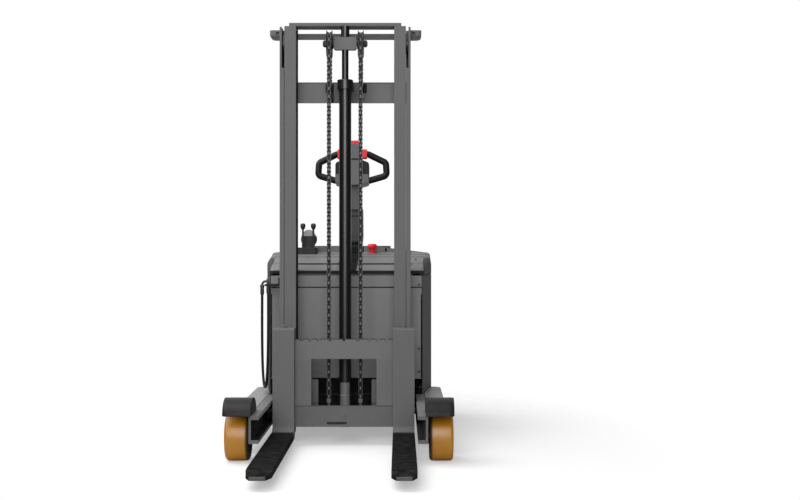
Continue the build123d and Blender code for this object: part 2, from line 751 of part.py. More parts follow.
def console_plan(inset, front):
    side = BODY_HALF - inset
    rear = BODY_REAR - inset
    return [
        (-side, front),
        (side, front),
        (side, rear, REAR_ROUND - inset),
        (-side, rear, REAR_ROUND - inset),
    ]


def well_plan(grow):
    half = WELL_HALF + grow
    return [
        (-half, WELL_FRONT - grow, 150),
        (half, WELL_FRONT - grow, 150),
        (half, BODY_REAR + 20),
        (-half, BODY_REAR + 20),
    ]


def dash_cover(inset, front):
    """Dash block set in by a wall: flat in the middle, falling away to the sides, with rounded rear corners."""
    side = BODY_HALF - inset
    edge = DASH_SIDE - inset
    crown = RIM_TOP - inset
    arch = plate_y(
        [
            (-side, BONNET_BOTTOM),
            (side, BONNET_BOTTOM),
            (side, edge, DASH_ROUND - inset),
            (CROWN_HALF, crown, 60),
            (-CROWN_HALF, crown, 60),
            (-side, edge, DASH_ROUND - inset),
        ],
        (front, BODY_REAR - inset),
    )
    return arch & plate_z(console_plan(inset, front), (BONNET_BOTTOM - 1, RIM_TOP + 1))


def console():
    """Moulded dash round the tiller well, with a raised bead round the well and two slots in its front."""
    front = BONNET_REAR + SEAM
    cover = dash_cover(0, front)
    wall = plate_z(well_plan(SHEET), (BONNET_BOTTOM, RIM_TOP - 5)) & cover
    bead = plate_z(well_plan(14), (RIM_TOP - 12, RIM_TOP + RIM_BEAD))
    bead &= plate_z(console_plan(16, front + 1), (BONNET_BOTTOM, RIM_TOP + RIM_BEAD))
    dash = (cover - dash_cover(SHEET, front + SHEET)) + wall + bead
    for x in (-WELL_HALF + 10, WELL_HALF - 10):
        dash -= block((x - 4, x + 4), (front - 1, front + 12), (CONSOLE_TOP + 2, RIM_TOP + 10))
    return dash - plate_z(well_plan(0), (BONNET_BOTTOM - 1, RIM_TOP + 10))


def rear_panel():
    """Rear skin with rounded corners and a shallow pressed knee recess."""
    front = BODY_REAR - REAR_ROUND + SEAM
    side, inner = BODY_HALF, BODY_HALF - REAR_SKIN
    rear = BODY_REAR
    skin = plate_z(
        [
            (-side, front),
            (-side, rear, REAR_ROUND - SEAM - 1),
            (side, rear, REAR_ROUND - SEAM - 1),
            (side, front),
            (inner, front),
            (inner, rear - REAR_SKIN, REAR_ROUND - SEAM - REAR_SKIN - 1),
            (-inner, rear - REAR_SKIN, REAR_ROUND - SEAM - REAR_SKIN - 1),
            (-inner, front),
        ],
        (SKIRT_BOTTOM, BONNET_BOTTOM - SEAM),
    )
    recess = plate_y(
        [(-220, 340, 40), (220, 340, 40), (190, 700, 40), (-190, 700, 40)],
        (rear - 4, rear + 5),
    )
    return skin - recess


def panel_screws():
    """Button-head screws down both edges of the front panel and on the bonnet's lip."""
    screws = []
    for z in (318, 430, 740):
        for x in (-PANEL_HALF + 14, PANEL_HALF - 14):
            head = bar("y", 6, (PANEL_Y - 3, PANEL_Y), x, z)
            screws.append(head)
    return screws


right_side = side_panel()
save("bonnet", bonnet())
save("right_side_panel", right_side)
save("left_side_panel", other_side(right_side))
save("front_panel", front_panel())
save("console", console())
save("rear_panel", rear_panel())
save("panel_screws", *panel_screws())


# Inside the body

def battery_pack():
    """Steel battery box with a lipped lid, two terminal posts and lifting eyes."""
    half = PANEL_HALF - 40
    front, rear = PANEL_Y + 52, CHANNEL_REAR - 10
    lid_top = BATTERY_TOP + 18
    tray = block((-half, half), (front, rear), (FLOOR_TOP, BATTERY_TOP))
    lid = block((-half - 4, half + 4), (front, rear), (BATTERY_TOP, lid_top))
    box = tray + lid
    for x in (-half + 70, half - 70):
        box += bar("z", 16, (lid_top, lid_top + 16), x, (front + rear) / 2)
    for x in (-half + 25, half - 25):
        for y in (front + 30, rear - 30):
            box -= bar("z", 12, (BATTERY_TOP - 12, lid_top + 10), x, y)
    return box


def hydraulic_unit():
    """Pump motor standing on its oil tank."""
    x, y = PUMP_X, PUMP_Y
    long = TANK_HALF + 10
    tank = plate_z(
        [
            (x - TANK_HALF, y - long, 20),
            (x + TANK_HALF, y - long, 20),
            (x + TANK_HALF, y + long, 20),
            (x - TANK_HALF, y + long, 20),
        ],
        (FLOOR_TOP, TANK_TOP),
    )
    can = PUMP_RADIUS - 6
    motor = spun(
        [
            (0, TANK_TOP),
            (PUMP_RADIUS, TANK_TOP),
            (PUMP_RADIUS, TANK_TOP + 32),
            (can, TANK_TOP + 36),
            (can, PUMP_TOP - 22),
            (PUMP_RADIUS, PUMP_TOP - 18),
            (PUMP_RADIUS, PUMP_TOP, 8),
            (0, PUMP_TOP),
        ],
        x,
        y,
    )
    cap = bar("z", 18, (TANK_TOP, TANK_TOP + 20), x - 50, y + 64)
    return tank + motor + cap


def motor_controller():
    """Motor controller on a finned heat sink."""
    pitch, slot, count = 18, 12, 9
    left = CONTROLLER_X - pitch * count / 2 - 3
    right = CONTROLLER_X + pitch * count / 2 + 3
    base, top = FLOOR_TOP + 20, FLOOR_TOP + 52
    comb = [(right, top), (right, FLOOR_TOP), (left, FLOOR_TOP), (left, top)]
    for i in range(count):
        start = left + 6 + pitch * i
        comb += [(start, top), (start, base), (start + slot, base), (start + slot, top)]
    sink = plate_y(comb, (CONTROLLER_Y - 81, CONTROLLER_Y + 81))
    lid = block((left + 21, right - 21), (CONTROLLER_Y - 65, CONTROLLER_Y + 65), (top, top + 32))
    return sink + lid


save("battery_pack", battery_pack())
save("hydraulic_unit", hydraulic_unit())
save("motor_controller", motor_controller())


# Drive unit: everything that turns with the tiller about the steering axis

def drive_gearbox():
    """Turntable flange on the floor, reduction gear case beside the wheel and the output shaft."""
    ring = TURN_RADIUS - SLIDE_CLEAR
    seat = FLOOR_TOP + SLIDE_CLEAR
    table = spun(
        [
            (0, FLOOR_BOTTOM),
            (ring, FLOOR_BOTTOM),
            (ring, seat),
            (TURN_RADIUS + 16, seat),
            (TURN_RADIUS + 16, seat + 14, 4),
            (MOTOR_RADIUS + 18, seat + 22, 10),
            (MOTOR_RADIUS + 12, MOTOR_FOOT),
            (0, MOTOR_FOOT),
        ],
        0,
        STEER_Y,
    )
    near = -DRIVE_WIDTH / 2 - 8
    case = plate_x(
        [
            (STEER_Y - 72, FLOOR_BOTTOM),
            (STEER_Y - 72, DRIVE_RADIUS - 62, 60),
            (STEER_Y + 72, DRIVE_RADIUS - 62, 60),
            (STEER_Y + 72, FLOOR_BOTTOM),
        ],
        (near - 62, near),
    )
    shaft = bar("x", 22, (near, DRIVE_WIDTH / 2 - 2), STEER_Y, DRIVE_RADIUS)
    washer = bar("x", 31, (DRIVE_WIDTH / 2 - 2, DRIVE_WIDTH / 2 + 3), STEER_Y, DRIVE_RADIUS)
    return table + case + shaft + washer


def drive_hub():
    half = DRIVE_WIDTH / 2 - 2
    bore = 22 + SHAFT_CLEAR
    return turned(
        [
            (-half, bore),
            (half - 2, bore),
            (half - 2, 42),
            (10, 42, 5),
            (10, DRIVE_RIM - 12, 5),
            (half, DRIVE_RIM - 12),
            (half, DRIVE_RIM),
            (-half, DRIVE_RIM),
            (-half, DRIVE_RIM - 12),
            (-10, DRIVE_RIM - 12, 5),
            (-10, 42, 5),
            (-half, 42),
        ],
        STEER_Y,
        DRIVE_RADIUS,
    )


def drive_motor():
    """Upright traction motor with end bells and cooling grooves."""
    profile = [(0, MOTOR_FOOT), (MOTOR_RADIUS, MOTOR_FOOT), (MOTOR_RADIUS, MOTOR_FOOT + 30)]
    for i in range(5):
        z = MOTOR_FOOT + 44 + 26 * i
        profile += [(MOTOR_RADIUS - 6, z - 6), (MOTOR_RADIUS - 6, z + 6)]
        profile += [(MOTOR_RADIUS, z + 8), (MOTOR_RADIUS, z + 12)]
    profile += [(MOTOR_RADIUS, MOTOR_TOP - 34), (MOTOR_RADIUS - 18, MOTOR_TOP, 10), (0, MOTOR_TOP)]
    return spun(profile, 0, STEER_Y)


def tiller_base():
    """Steering column on the motor, with a forked head that holds the tiller's pivot pin."""
    crown = TILLER_PIVOT_Z + 32
    neck = TILLER_PIVOT_Z - 62
    column = spun(
        [
            (0, MOTOR_TOP),
            (62, MOTOR_TOP),
            (62, MOTOR_TOP + 12),
            (YOKE_OUT, MOTOR_TOP + 34, 8),
            (YOKE_OUT, neck + 22),
            (0, neck + 22),
        ],
        0,
        STEER_Y,
    )
    cheek = plate_x(
        [(STEER_Y - 32, neck), (STEER_Y + 32, neck), (STEER_Y + 32, crown, 31.9), (STEER_Y - 32, crown, 31.9)],
        (YOKE_IN, YOKE_OUT),
    )
    pin = bar("x", PIVOT_RADIUS, (-YOKE_OUT - 5, YOKE_OUT + 5), STEER_Y, TILLER_PIVOT_Z)
    return column + cheek + other_side(cheek) + pin


def caster_fork():
    """Swivel plate and king pin, with a raked fork and the wheel's pin."""
    wheel_y = CASTER_Y + CASTER_TRAIL
    top = FLOOR_BOTTOM - SLIDE_CLEAR
    plate = spun([(0, top - 14), (50, top - 14), (50, top - 4), (46, top), (0, top)], CASTER_X, CASTER_Y)
    king = bar("z", KING_RADIUS, (top, FLOOR_TOP + 8), CASTER_X, CASTER_Y)
    cheeks = []
    for side in (-1, 1):
        inner = CASTER_X + side * (CASTER_WIDTH / 2 + 3)
        cheeks.append(
            plate_x(
                [
                    (CASTER_Y - 34, top - 10),
                    (wheel_y - 18, CASTER_RADIUS - 16, 14),
                    (wheel_y + 18, CASTER_RADIUS - 16, 14),
                    (CASTER_Y + 40, top - 10),
                ],
                sorted((inner, inner + side * 6)),
            )
        )
    reach = CASTER_WIDTH / 2 + 12
    pin = bar("x", 8, (CASTER_X - reach, CASTER_X + reach), wheel_y, CASTER_RADIUS)
    return plate + king + cheeks[0] + cheeks[1] + pin


def caster_wheel():
    half = CASTER_WIDTH / 2
    return turned(
        [
            (CASTER_X - half - 2, 8 + SHAFT_CLEAR),
            (CASTER_X + half + 2, 8 + SHAFT_CLEAR),
            (CASTER_X + half + 2, 18),
            (CASTER_X + half - 6, 22),
            (CASTER_X + half - 6, 44),
            (CASTER_X + half, 46),
            (CASTER_X + half, CASTER_RADIUS, 8),
            (CASTER_X - half, CASTER_RADIUS, 8),
            (CASTER_X - half, 46),
            (CASTER_X - half + 6, 44),
            (CASTER_X - half + 6, 22),
            (CASTER_X - half - 2, 18),
        ],
        CASTER_Y + CASTER_TRAIL,
        CASTER_RADIUS,
    )


save("drive_gearbox", drive_gearbox())
save("drive_motor", drive_motor())
save("drive_hub", drive_hub())
drive_half = DRIVE_WIDTH / 2
save("drive_tyre", tyre(DRIVE_RADIUS, DRIVE_RIM, -drive_half, drive_half, 10, STEER_Y, DRIVE_RADIUS))
save("tiller_base", tiller_base())
right_fork_caster = caster_fork()
right_caster = caster_wheel()
save("right_caster_fork", right_fork_caster)
save("left_caster_fork", other_side(right_fork_caster))
save("right_caster_wheel", right_caster)
save("left_caster_wheel", other_side(right_caster))


# Folding platform that the operator stands on

def platform():
    """Pressed tray with a turned-down rim, carried by two knuckles on the chassis pins."""
    front = PLATFORM_HINGE_Y + 20
    high = PLATFORM_HINGE_Z + 15
    low = high - 32
    rim = [
        (-PLATFORM_HALF, front),
        (PLATFORM_HALF, front),
        (PLATFORM_HALF, PLATFORM_END, 60),
        (-PLATFORM_HALF, PLATFORM_END, 60),
    ]
    inner = PLATFORM_HALF - 6
    pocket = [
        (-inner, front + 6),
        (inner, front + 6),
        (inner, PLATFORM_END - 6, 54),
        (-inner, PLATFORM_END - 6, 54),
    ]
    tray = plate_z(rim, (low, high)) - plate_z(pocket, (low - 1, high - 5))
    span = (LUG_IN - 38, LUG_IN - 1)
    knuckle = bar("x", 17, span, PLATFORM_HINGE_Y, PLATFORM_HINGE_Z)
    knuckle += block(span, (PLATFORM_HINGE_Y, front + 4), (PLATFORM_HINGE_Z - 12, PLATFORM_HINGE_Z + 13))
    knuckle -= bar("x", PLATFORM_PIN + SHAFT_CLEAR, (LUG_IN - 60, LUG_IN), PLATFORM_HINGE_Y, PLATFORM_HINGE_Z)
    return tray + knuckle + other_side(knuckle)


def platform_mat():
    """Ribbed rubber mat on the tray."""
    front = PLATFORM_HINGE_Y + 34
    high = PLATFORM_HINGE_Z + 15
    half = PLATFORM_HALF - 14
    mat = plate_z(
        [(-half, front, 10), (half, front, 10), (half, PLATFORM_END - 14, 46), (-half, PLATFORM_END - 14, 46)],
        (high, high + 6),
    )
    for i in range(9):
        x = (i - 4) * half / 5
        mat -= block((x - 4, x + 4), (front + 20, PLATFORM_END - 60), (high + 3, high + 7))
    return mat


save("platform", platform())
save("platform_mat", platform_mat())


# Tiller, drawn upright about its pivot and then leaned back

TILLER = Pos(0, STEER_Y, TILLER_PIVOT_Z) * Rot(-TILLER_LEAN, 0, 0)


def slab(width, depth, turn, z):
    """Rounded rectangle across the tiller's arm at a height."""
    return Pos(0, 0, z) * RectangleRounded(width, depth, turn)


def tiller_head():
    """Pod and neck of the tiller's head, with pockets for the belly button and the lift rocker."""
    right = [
        (NECK_HALF - 2, HEAD_LOW, 10),
        (HEAD_HALF, HEAD_LOW + 14, 12),
        (HEAD_HALF, NECK_LOW - 38, 18),
        (NECK_HALF + 12, NECK_LOW - 24, 8),
        (NECK_HALF, NECK_LOW, 6),
        (NECK_HALF, HEAD_TOP, 12),
    ]
    corners = right + [(-x, z, r) for x, z, r in reversed(right)]
    head = plate_y(corners, (-50, 36))
    rims = head.faces().sort_by(Axis.Y)
    head = fillet(rims[0].edges() + rims[-1].edges(), 5)
    head -= bar("x", ROCKER_SHAFT + SHAFT_CLEAR, (-60, 60), ROCKER_Y, ROCKER_Z)
    head -= block((-35, 35), (-31, 17), (HEAD_TOP - 22, HEAD_TOP + 16))
    head -= block((-25, 25), (25, 40), (SWITCH_Z - 25, SWITCH_Z + 25))
    head -= bar("x", SWITCH_PIN + SHAFT_CLEAR, (-29, 29), SWITCH_PIN_Y, SWITCH_Z)
    return head


def tiller_arm(head):
    """Arm with a wider lower cover and the pivot lug."""
    lug = plate_x(
        [(-24, -25, 23), (24, -25, 23), (24, 60), (-24, 60)],
        (-YOKE_IN + SLIDE_CLEAR, YOKE_IN - SLIDE_CLEAR),
    )
    cover = loft([slab(118, 78, 16, 47), slab(124, 82, 18, 80), slab(120, 76, 16, 222)], ruled=True)
    for z in (186, 206):
        cover -= extrude(slab(140, 100, 18, z) - slab(116, 72, 14, z), 4)
    shaft = loft([slab(104, 62, 12, 220), slab(88, 54, 10, 372)], ruled=True)
    bore = bar("x", PIVOT_RADIUS + SHAFT_CLEAR, (-40, 40), 0, 0)
    return lug - bore + cover + (shaft - head)


def tiller_handle(head):
    """Loop grip on one side of the head."""
    points = [
        (NECK_HALF - 10, HEAD_TOP - 38),
        (HEAD_HALF - 2, HEAD_TOP - 50),
        (GRIP_OUT - 4, HEAD_LOW + 136),
        (GRIP_OUT, HEAD_LOW + 64),
        (HEAD_HALF + 4, HEAD_LOW + 37),
        (HEAD_HALF - 22, HEAD_LOW + 34),
    ]
    path = FilletPolyline(*[(x, 0, z) for x, z in points], radius=24)
    grip = sweep(Plane(path @ 0, z_dir=path % 0) * Circle(HANDLE_RADIUS), path)
    return grip - head


def throttle_rocker():
    """Butterfly throttle: one shaft through the neck with a thumb wing at each end."""
    shaft = bar("x", ROCKER_SHAFT, (-80, 80), ROCKER_Y, ROCKER_Z)
    wing = plate_x(
        [
            (ROCKER_Y - 12, ROCKER_Z - WING_HALF, 9),
            (ROCKER_Y + 12, ROCKER_Z - WING_HALF, 9),
            (ROCKER_Y + 12, ROCKER_Z + WING_HALF, 9),
            (ROCKER_Y - 12, ROCKER_Z + WING_HALF, 9),
        ],
        (55, 80),
    )
    return shaft + wing + other_side(wing)


def belly_button():
    """Wide safety button in the top of the head."""
    cap = block((-34.4, 34.4), (-30.4, 16.4), (HEAD_TOP - 10, HEAD_TOP + 24))
    top = cap.faces().sort_by(Axis.Z)[-1]
    return fillet(top.edges(), 7)


def lift_switch():
    """Lift and lower rocker on the operator's side of the pod, on a pin through both of its ends."""
    z = SWITCH_Z
    rocker = plate_x([(29, z - 17), (36, z - 19), (43, z, 10), (36, z + 19), (29, z + 17)], (-24.4, 24.4))
    return rocker + bar("x", SWITCH_PIN, (-28, 28), SWITCH_PIN_Y, SWITCH_Z)


head = tiller_head()
handle = tiller_handle(head)
save("tiller_head", TILLER * head)
save("tiller_arm", TILLER * tiller_arm(head))
save("tiller_handles", *[TILLER * grip for grip in both(handle)])
save("throttle_rocker", TILLER * throttle_rocker())
save("belly_button", TILLER * belly_button())
save("lift_switch", TILLER * lift_switch())


# Controls on the body

def estop_button():
    """Mushroom-headed emergency switch."""
    return spun(
        [(0, 868), (15, 868), (15, 916), (27, 918, 2), (28, 928, 4), (20, 940, 8), (0, 941)],
        ESTOP_X,
        ESTOP_Y,
    )


def lever_housing():
    """Lever base on the bonnet, with a slot for each lever and a domed instrument pod behind."""
    low, high = min(LEVER_XS) - 31, max(LEVER_XS) + 18
    middle = sum(LEVER_XS) / 2
    rear = BONNET_REAR - 2
    base = plate_z(
        [(low, LEVER_Y - 34, 8), (high, LEVER_Y - 34, 8), (high, rear, 8), (low, rear, 8)],
        (CONSOLE_TOP - 30, CONSOLE_TOP + 24),
    )
    dome = CONSOLE_TOP + 118
    left, right = middle - 31, middle + 31
    pod = plate_y(
        [(left, CONSOLE_TOP), (right, CONSOLE_TOP), (right, dome, 28), (left, dome, 28)],
        (rear - LEVER_POD_DEPTH, rear),
    )
    wide = LEVER_STICK + 2.4
    for x in LEVER_XS:
        base -= block((x - wide, x + wide), (LEVER_Y - 20, LEVER_Y + 20), (CONSOLE_TOP + 2, CONSOLE_TOP + 30))
    return base + pod - bonnet_form(0)


def hand_lever(x):
    """Hydraulic hand lever with a pivot barrel and a round knob."""
    z = LEVER_PIVOT_Z
    profile = [
        (0, z),
        (LEVER_STICK, z),
        (LEVER_STICK - 1, z + 108),
        (10, z + 114),
        (14, z + 126, 8),
        (12, z + 140, 6),
        (0, z + 143),
    ]
    half = LEVER_STICK + 2
    return spun(profile, x, LEVER_Y) + bar("x", 6, (x - half, x + half), LEVER_Y, z)


save("estop_button", estop_button())
save("lever_housing", lever_housing())
save("reach_lever", hand_lever(LEVER_XS[0]))
save("auxiliary_lever", hand_lever(LEVER_XS[1]))


# Reach carriage and outer mast

def reach_carriage():
    """Side plates that carry the mast on rollers in the leg channels, tied at the back."""
    front, rear = REACH_ROLLER_FRONT - 40, REACH_ROLLER_REAR + 42
    high = FLOOR_BOTTOM - 5
    side = plate_x(
        [
            (front, OUTER_RAIL_BOTTOM, 12),
            (rear, OUTER_RAIL_BOTTOM, 12),
            (rear, LEG_TOP - 12, 20),
            (RAIL_BACK + 58, high, 40),
            (front, high, 12),
        ],
        (OUTER_RAIL_OUT, CHANNEL_TIP - 8),
    )
    tie_y = (rear - 28, rear - 12)
    tie = block((-OUTER_RAIL_OUT, OUTER_RAIL_OUT), tie_y, (REACH_Z + 40, LEG_TOP - 2))
    return [side, other_side(side), tie]


def stud_roller(radius, face, start, end, y, z):
    """Guide roller over a span of x, on a stud that starts at the plate face."""
    stud = sorted((face, start if abs(start - face) < abs(end - face) else end))
    wheel = turned([(start, 0), (end, 0), (end, radius, 1.5), (start, radius, 1.5)], y, z)
    return wheel + bar("x", STUD_RADIUS, stud, y, z)


def reach_rollers():
    radius = CHANNEL_GAP / 2 - ROLLER_CLEAR
    face = CHANNEL_TIP - 8
    web_in = LEG_WEB_OUT - LEG_WEB
    rollers = []
    for y in (REACH_ROLLER_FRONT, REACH_ROLLER_REAR):
        rollers += both(stud_roller(radius, face, web_in - 2 - 25, web_in - 2, y, CHANNEL_MID))
    return rollers


def outer_rail():
    """C-section rail open to the inside, its front flange cut back at the top to clear the roller."""
    web_in = OUTER_RAIL_OUT - RAIL_WEB
    rail = plate_z(
        [
            (OUTER_RAIL_IN, RAIL_FRONT, 3),
            (OUTER_RAIL_OUT, RAIL_FRONT, 3),
            (OUTER_RAIL_OUT, RAIL_BACK, 3),
            (OUTER_RAIL_IN, RAIL_BACK, 3),
            (OUTER_RAIL_IN, RAIL_BACK - RAIL_FLANGE),
            (web_in, RAIL_BACK - RAIL_FLANGE),
            (web_in, RAIL_FRONT + RAIL_FLANGE),
            (OUTER_RAIL_IN, RAIL_FRONT + RAIL_FLANGE),
        ],
        (OUTER_RAIL_BOTTOM, OUTER_RAIL_TOP),
    )
    top = OUTER_RAIL_TOP + 1
    flange = (RAIL_FRONT - 1, RAIL_FRONT + RAIL_FLANGE)
    return rail - block((OUTER_RAIL_IN - 1, web_in), flange, (top - ROLLER_CUT, top))


def beam(z):
    """Cross beam welded behind the outer rails."""
    low, high = z
    half = OUTER_RAIL_OUT
    corners = [(-half, low, 6), (half, low, 6), (half, high, 6), (-half, high, 6)]
    return plate_y(corners, (RAIL_BACK, RAIL_BACK + BEAM_THICK))


def mid_beam():
    """Upper cross beam with the cylinder's saddle and the chains' fixed anchors."""
    whole = beam(MID_BEAM)
    gland_top = BARREL_TOP + GLAND_HEIGHT
    saddle = block((-GLAND_RADIUS, GLAND_RADIUS), (LIFT_Y + 10, RAIL_BACK), (BARREL_TOP + 6, gland_top - 6))
    whole += saddle - bar("z", GLAND_RADIUS, (BARREL_TOP - 5, gland_top + 5), 0, LIFT_Y)
    strand = LIFT_Y + CHAIN_PITCH_RADIUS
    end = REAR_CHAIN_END - SLIDE_CLEAR
    for x in (-CHAIN_X, CHAIN_X):
        whole += block((x - 13, x + 13), (strand - 14, RAIL_BACK), (end - 62, end - 44))
        whole += bar("z", 7, (end - 44, end - 16), x, strand)
        whole += block((x - 9, x + 9), (strand - 9, strand + 9), (end - 20, end))
    return whole


def tie_bar():
    """Top tie behind the mast, with rounded lugs welded to the outside of the rails."""
    low = TIE_TOP - TIE_LUG_HEIGHT
    lug = plate_z(
        [
            (OUTER_RAIL_OUT, RAIL_MID - 16),
            (TIE_LUG_OUT, RAIL_MID - 16, 16),
            (TIE_LUG_OUT, TIE_BACK, 30),
            (OUTER_RAIL_OUT, TIE_BACK),
        ],
        (low, TIE_TOP),
    )
    lug_edges = [e for e in lug.edges() if abs(e.center().Z - low) < 1 and e.center().X > OUTER_RAIL_OUT + 5]
    lug = fillet(lug_edges, 12)
    pocket = (OUTER_RAIL_OUT + 6, OUTER_RAIL_OUT + 22)
    lug -= block(pocket, (RAIL_MID - 17, RAIL_MID - 4), (TIE_TOP - 24, TIE_TOP - 9))
    across = (-OUTER_RAIL_OUT, OUTER_RAIL_OUT)
    run = block(across, (TIE_BACK - BEAM_THICK, TIE_BACK), (TIE_TOP - TIE_HEIGHT, TIE_TOP))
    return [lug, other_side(lug), run]


def cylinder_base():
    """Foot plate between the rails that the lift cylinder stands on."""
    low = BARREL_BOTTOM - BASE_THICK
    return plate_z(
        [(-60, RAIL_BACK), (-60, LIFT_Y - 40, 20), (60, LIFT_Y - 40, 20), (60, RAIL_BACK)],
        (low, BARREL_BOTTOM),
    )


def hose_bracket():
    """Angle on the left rail that holds the mast ends of the hoses."""
    return plate_y(
        [
            (-OUTER_RAIL_OUT, HOSE_TOP),
            (-OUTER_RAIL_OUT, HOSE_TOP + 40),
            (-OUTER_RAIL_OUT - 12, HOSE_TOP + 40),
            (-OUTER_RAIL_OUT - 12, HOSE_TOP + 10, 6),
            (-OUTER_RAIL_OUT - 78, HOSE_TOP + 10, 4),
            (-OUTER_RAIL_OUT - 78, HOSE_TOP),
        ],
        (HOSE_MAST_Y - 16, HOSE_MAST_Y + HOSE_SHIFT[1] + 14),
    )


def outer_rollers():
    web_in = OUTER_RAIL_OUT - RAIL_WEB
    inner = INNER_WEB_IN + RAIL_WEB + 3
    z = OUTER_RAIL_TOP - 75
    return both(stud_roller(ROLLER_RADIUS, web_in, inner, inner + ROLLER_WIDTH, RAIL_MID, z))


def lift_cylinder():
    """Cylinder tube with its gland."""
    top = BARREL_TOP + GLAND_HEIGHT
    tube = spun(
        [
            (BARREL_BORE, BARREL_BOTTOM + 30),
            (0, BARREL_BOTTOM + 30),
            (0, BARREL_BOTTOM),
            (BARREL_RADIUS + 5, BARREL_BOTTOM),
            (BARREL_RADIUS + 5, BARREL_BOTTOM + 90),
            (BARREL_RADIUS, BARREL_BOTTOM + 96),
            (BARREL_RADIUS, BARREL_TOP),
            (GLAND_RADIUS, BARREL_TOP),
            (GLAND_RADIUS, top, 4),
            (ROD_RADIUS + SHAFT_CLEAR, top),
            (ROD_RADIUS + SHAFT_CLEAR, BARREL_TOP - 10),
            (BARREL_BORE, BARREL_TOP - 10),
        ],
        0,
        LIFT_Y,
    )
    return tube


right_outer = outer_rail()
save("reach_carriage", *reach_carriage())
save(
    "outer_mast",
    *both(right_outer),
    beam(BOTTOM_BEAM),
    mid_beam(),
    *tie_bar(),
    cylinder_base(),
    hose_bracket(),
)
save("mast_rollers", *reach_rollers(), *outer_rollers())
save("lift_cylinder", lift_cylinder())


# Inner mast

def inner_rail():
    """I-section rail: its outside runs on the outer mast's rollers, its inside guides the fork carriage."""
    web_out = INNER_WEB_IN + RAIL_WEB
    front, back = RAIL_FRONT + RAIL_FLANGE, RAIL_BACK - RAIL_FLANGE
    return plate_z(
        [
            (INNER_RAIL_IN, RAIL_FRONT, 3),
            (INNER_RAIL_OUT, RAIL_FRONT, 3),
            (INNER_RAIL_OUT, front),
            (web_out, front),
            (web_out, back),
            (INNER_RAIL_OUT, back),
            (INNER_RAIL_OUT, RAIL_BACK, 3),
            (INNER_RAIL_IN, RAIL_BACK, 3),
            (INNER_RAIL_IN, back),
            (INNER_WEB_IN, back),
            (INNER_WEB_IN, front),
            (INNER_RAIL_IN, front),
        ],
        (INNER_RAIL_BOTTOM, INNER_RAIL_TOP),
    )


def inner_ties():
    """Top plate over the rails and the tie between their feet."""
    half = INNER_WEB_IN + 4
    back = RAIL_FRONT + 104
    top = plate_z(
        [(-half, RAIL_FRONT, 6), (half, RAIL_FRONT, 6), (half, back, 6), (-half, back, 6)],
        (INNER_RAIL_TOP, MAST_HEIGHT),
    )
    foot_y = (RAIL_BACK - RAIL_FLANGE, RAIL_BACK - 2)
    foot = block((-INNER_RAIL_IN, INNER_RAIL_IN), foot_y, (BARREL_BOTTOM + 10, BARREL_BOTTOM + 85))
    return [top, foot]


def inner_rollers():
    web_out = INNER_WEB_IN + RAIL_WEB
    start = web_out + 3
    z = INNER_RAIL_BOTTOM + 60
    return both(stud_roller(ROLLER_RADIUS, web_out, start, start + ROLLER_WIDTH, RAIL_MID, z))


def lift_rod():
    """Piston rod through the crosshead up to the inner mast's top plate."""
    low, high = CROSSHEAD_Z
    return spun(
        [
            (0, ROD_BOTTOM),
            (BARREL_BORE - SLIDE_CLEAR, ROD_BOTTOM),
            (BARREL_BORE - SLIDE_CLEAR, ROD_BOTTOM + 40),
            (ROD_RADIUS, ROD_BOTTOM + 40),
            (ROD_RADIUS, high),
            (STEM_RADIUS, high),
            (STEM_RADIUS, INNER_RAIL_TOP),
            (0, INNER_RAIL_TOP),
        ],
        0,
        LIFT_Y,
    )


def crosshead():
    """Block on the rod with a pin each side for the chain wheels."""
    low, high = CROSSHEAD_Z
    half = CROSSHEAD_DEPTH / 2
    side = CROSSHEAD_HALF
    body = plate_y(
        [(-side, low, 10), (side, low, 10), (side, high, 6), (-side, high, 6)],
        (LIFT_Y - half, LIFT_Y + half),
    )
    body += bar("x", WHEEL_PIN_RADIUS, (-WHEEL_PIN_OUT, WHEEL_PIN_OUT), LIFT_Y, CROSSHEAD_MID)
    for side in (-1, 1):
        start = side * (WHEEL_PIN_OUT - 4)
        nut = Pos(start, LIFT_Y, CROSSHEAD_MID) * Rot(0, -side * 90, 0) * extrude(RegularPolygon(17, 6), 12)
        body += nut
    return body - bar("z", ROD_RADIUS, (low - 5, high + 5), 0, LIFT_Y)


def polar(radius, degrees):
    """Point (y, z) about the chain wheel's centre."""
    angle = math.radians(degrees)
    return (radius * math.cos(angle), radius * math.sin(angle))


def chain_wheel():
    """Toothed chain wheel: a round seat for each chain roller and a flat-topped tooth between seats."""
    seat = CHAIN_ROLLER + 0.4
    step = 360 / CHAIN_TEETH
    lean = math.degrees(math.atan(seat / CHAIN_PITCH_RADIUS))
    mouth = math.hypot(CHAIN_PITCH_RADIUS, seat)
    tip = CHAIN_PITCH_RADIUS + 4.5
    edges = []
    for i in range(CHAIN_TEETH):
        at = i * step
        left, right = polar(mouth, at - lean), polar(mouth, at + lean)
        tip_a, tip_b = polar(tip, at + step / 2 - 2.6), polar(tip, at + step / 2 + 2.6)
        edges.append(ThreePointArc(left, polar(CHAIN_PITCH_RADIUS - seat, at), right))
        edges.append(Line(right, tip_a))
        edges.append(Line(tip_a, tip_b))
        edges.append(Line(tip_b, polar(mouth, at + step - lean)))
    half = CHAIN_INNER_HALF - 0.6
    toothed = Pos(CHAIN_X - half, LIFT_Y, CROSSHEAD_MID) * extrude(Plane.YZ * make_face(edges), 2 * half)
    hub = bar("x", 24, (CROSSHEAD_HALF + 2, WHEEL_PIN_OUT - 18), LIFT_Y, CROSSHEAD_MID)
    bore = bar("x", WHEEL_PIN_RADIUS + SHAFT_CLEAR, (CROSSHEAD_HALF, WHEEL_PIN_OUT), LIFT_Y, CROSSHEAD_MID)
    return toothed + hub - bore


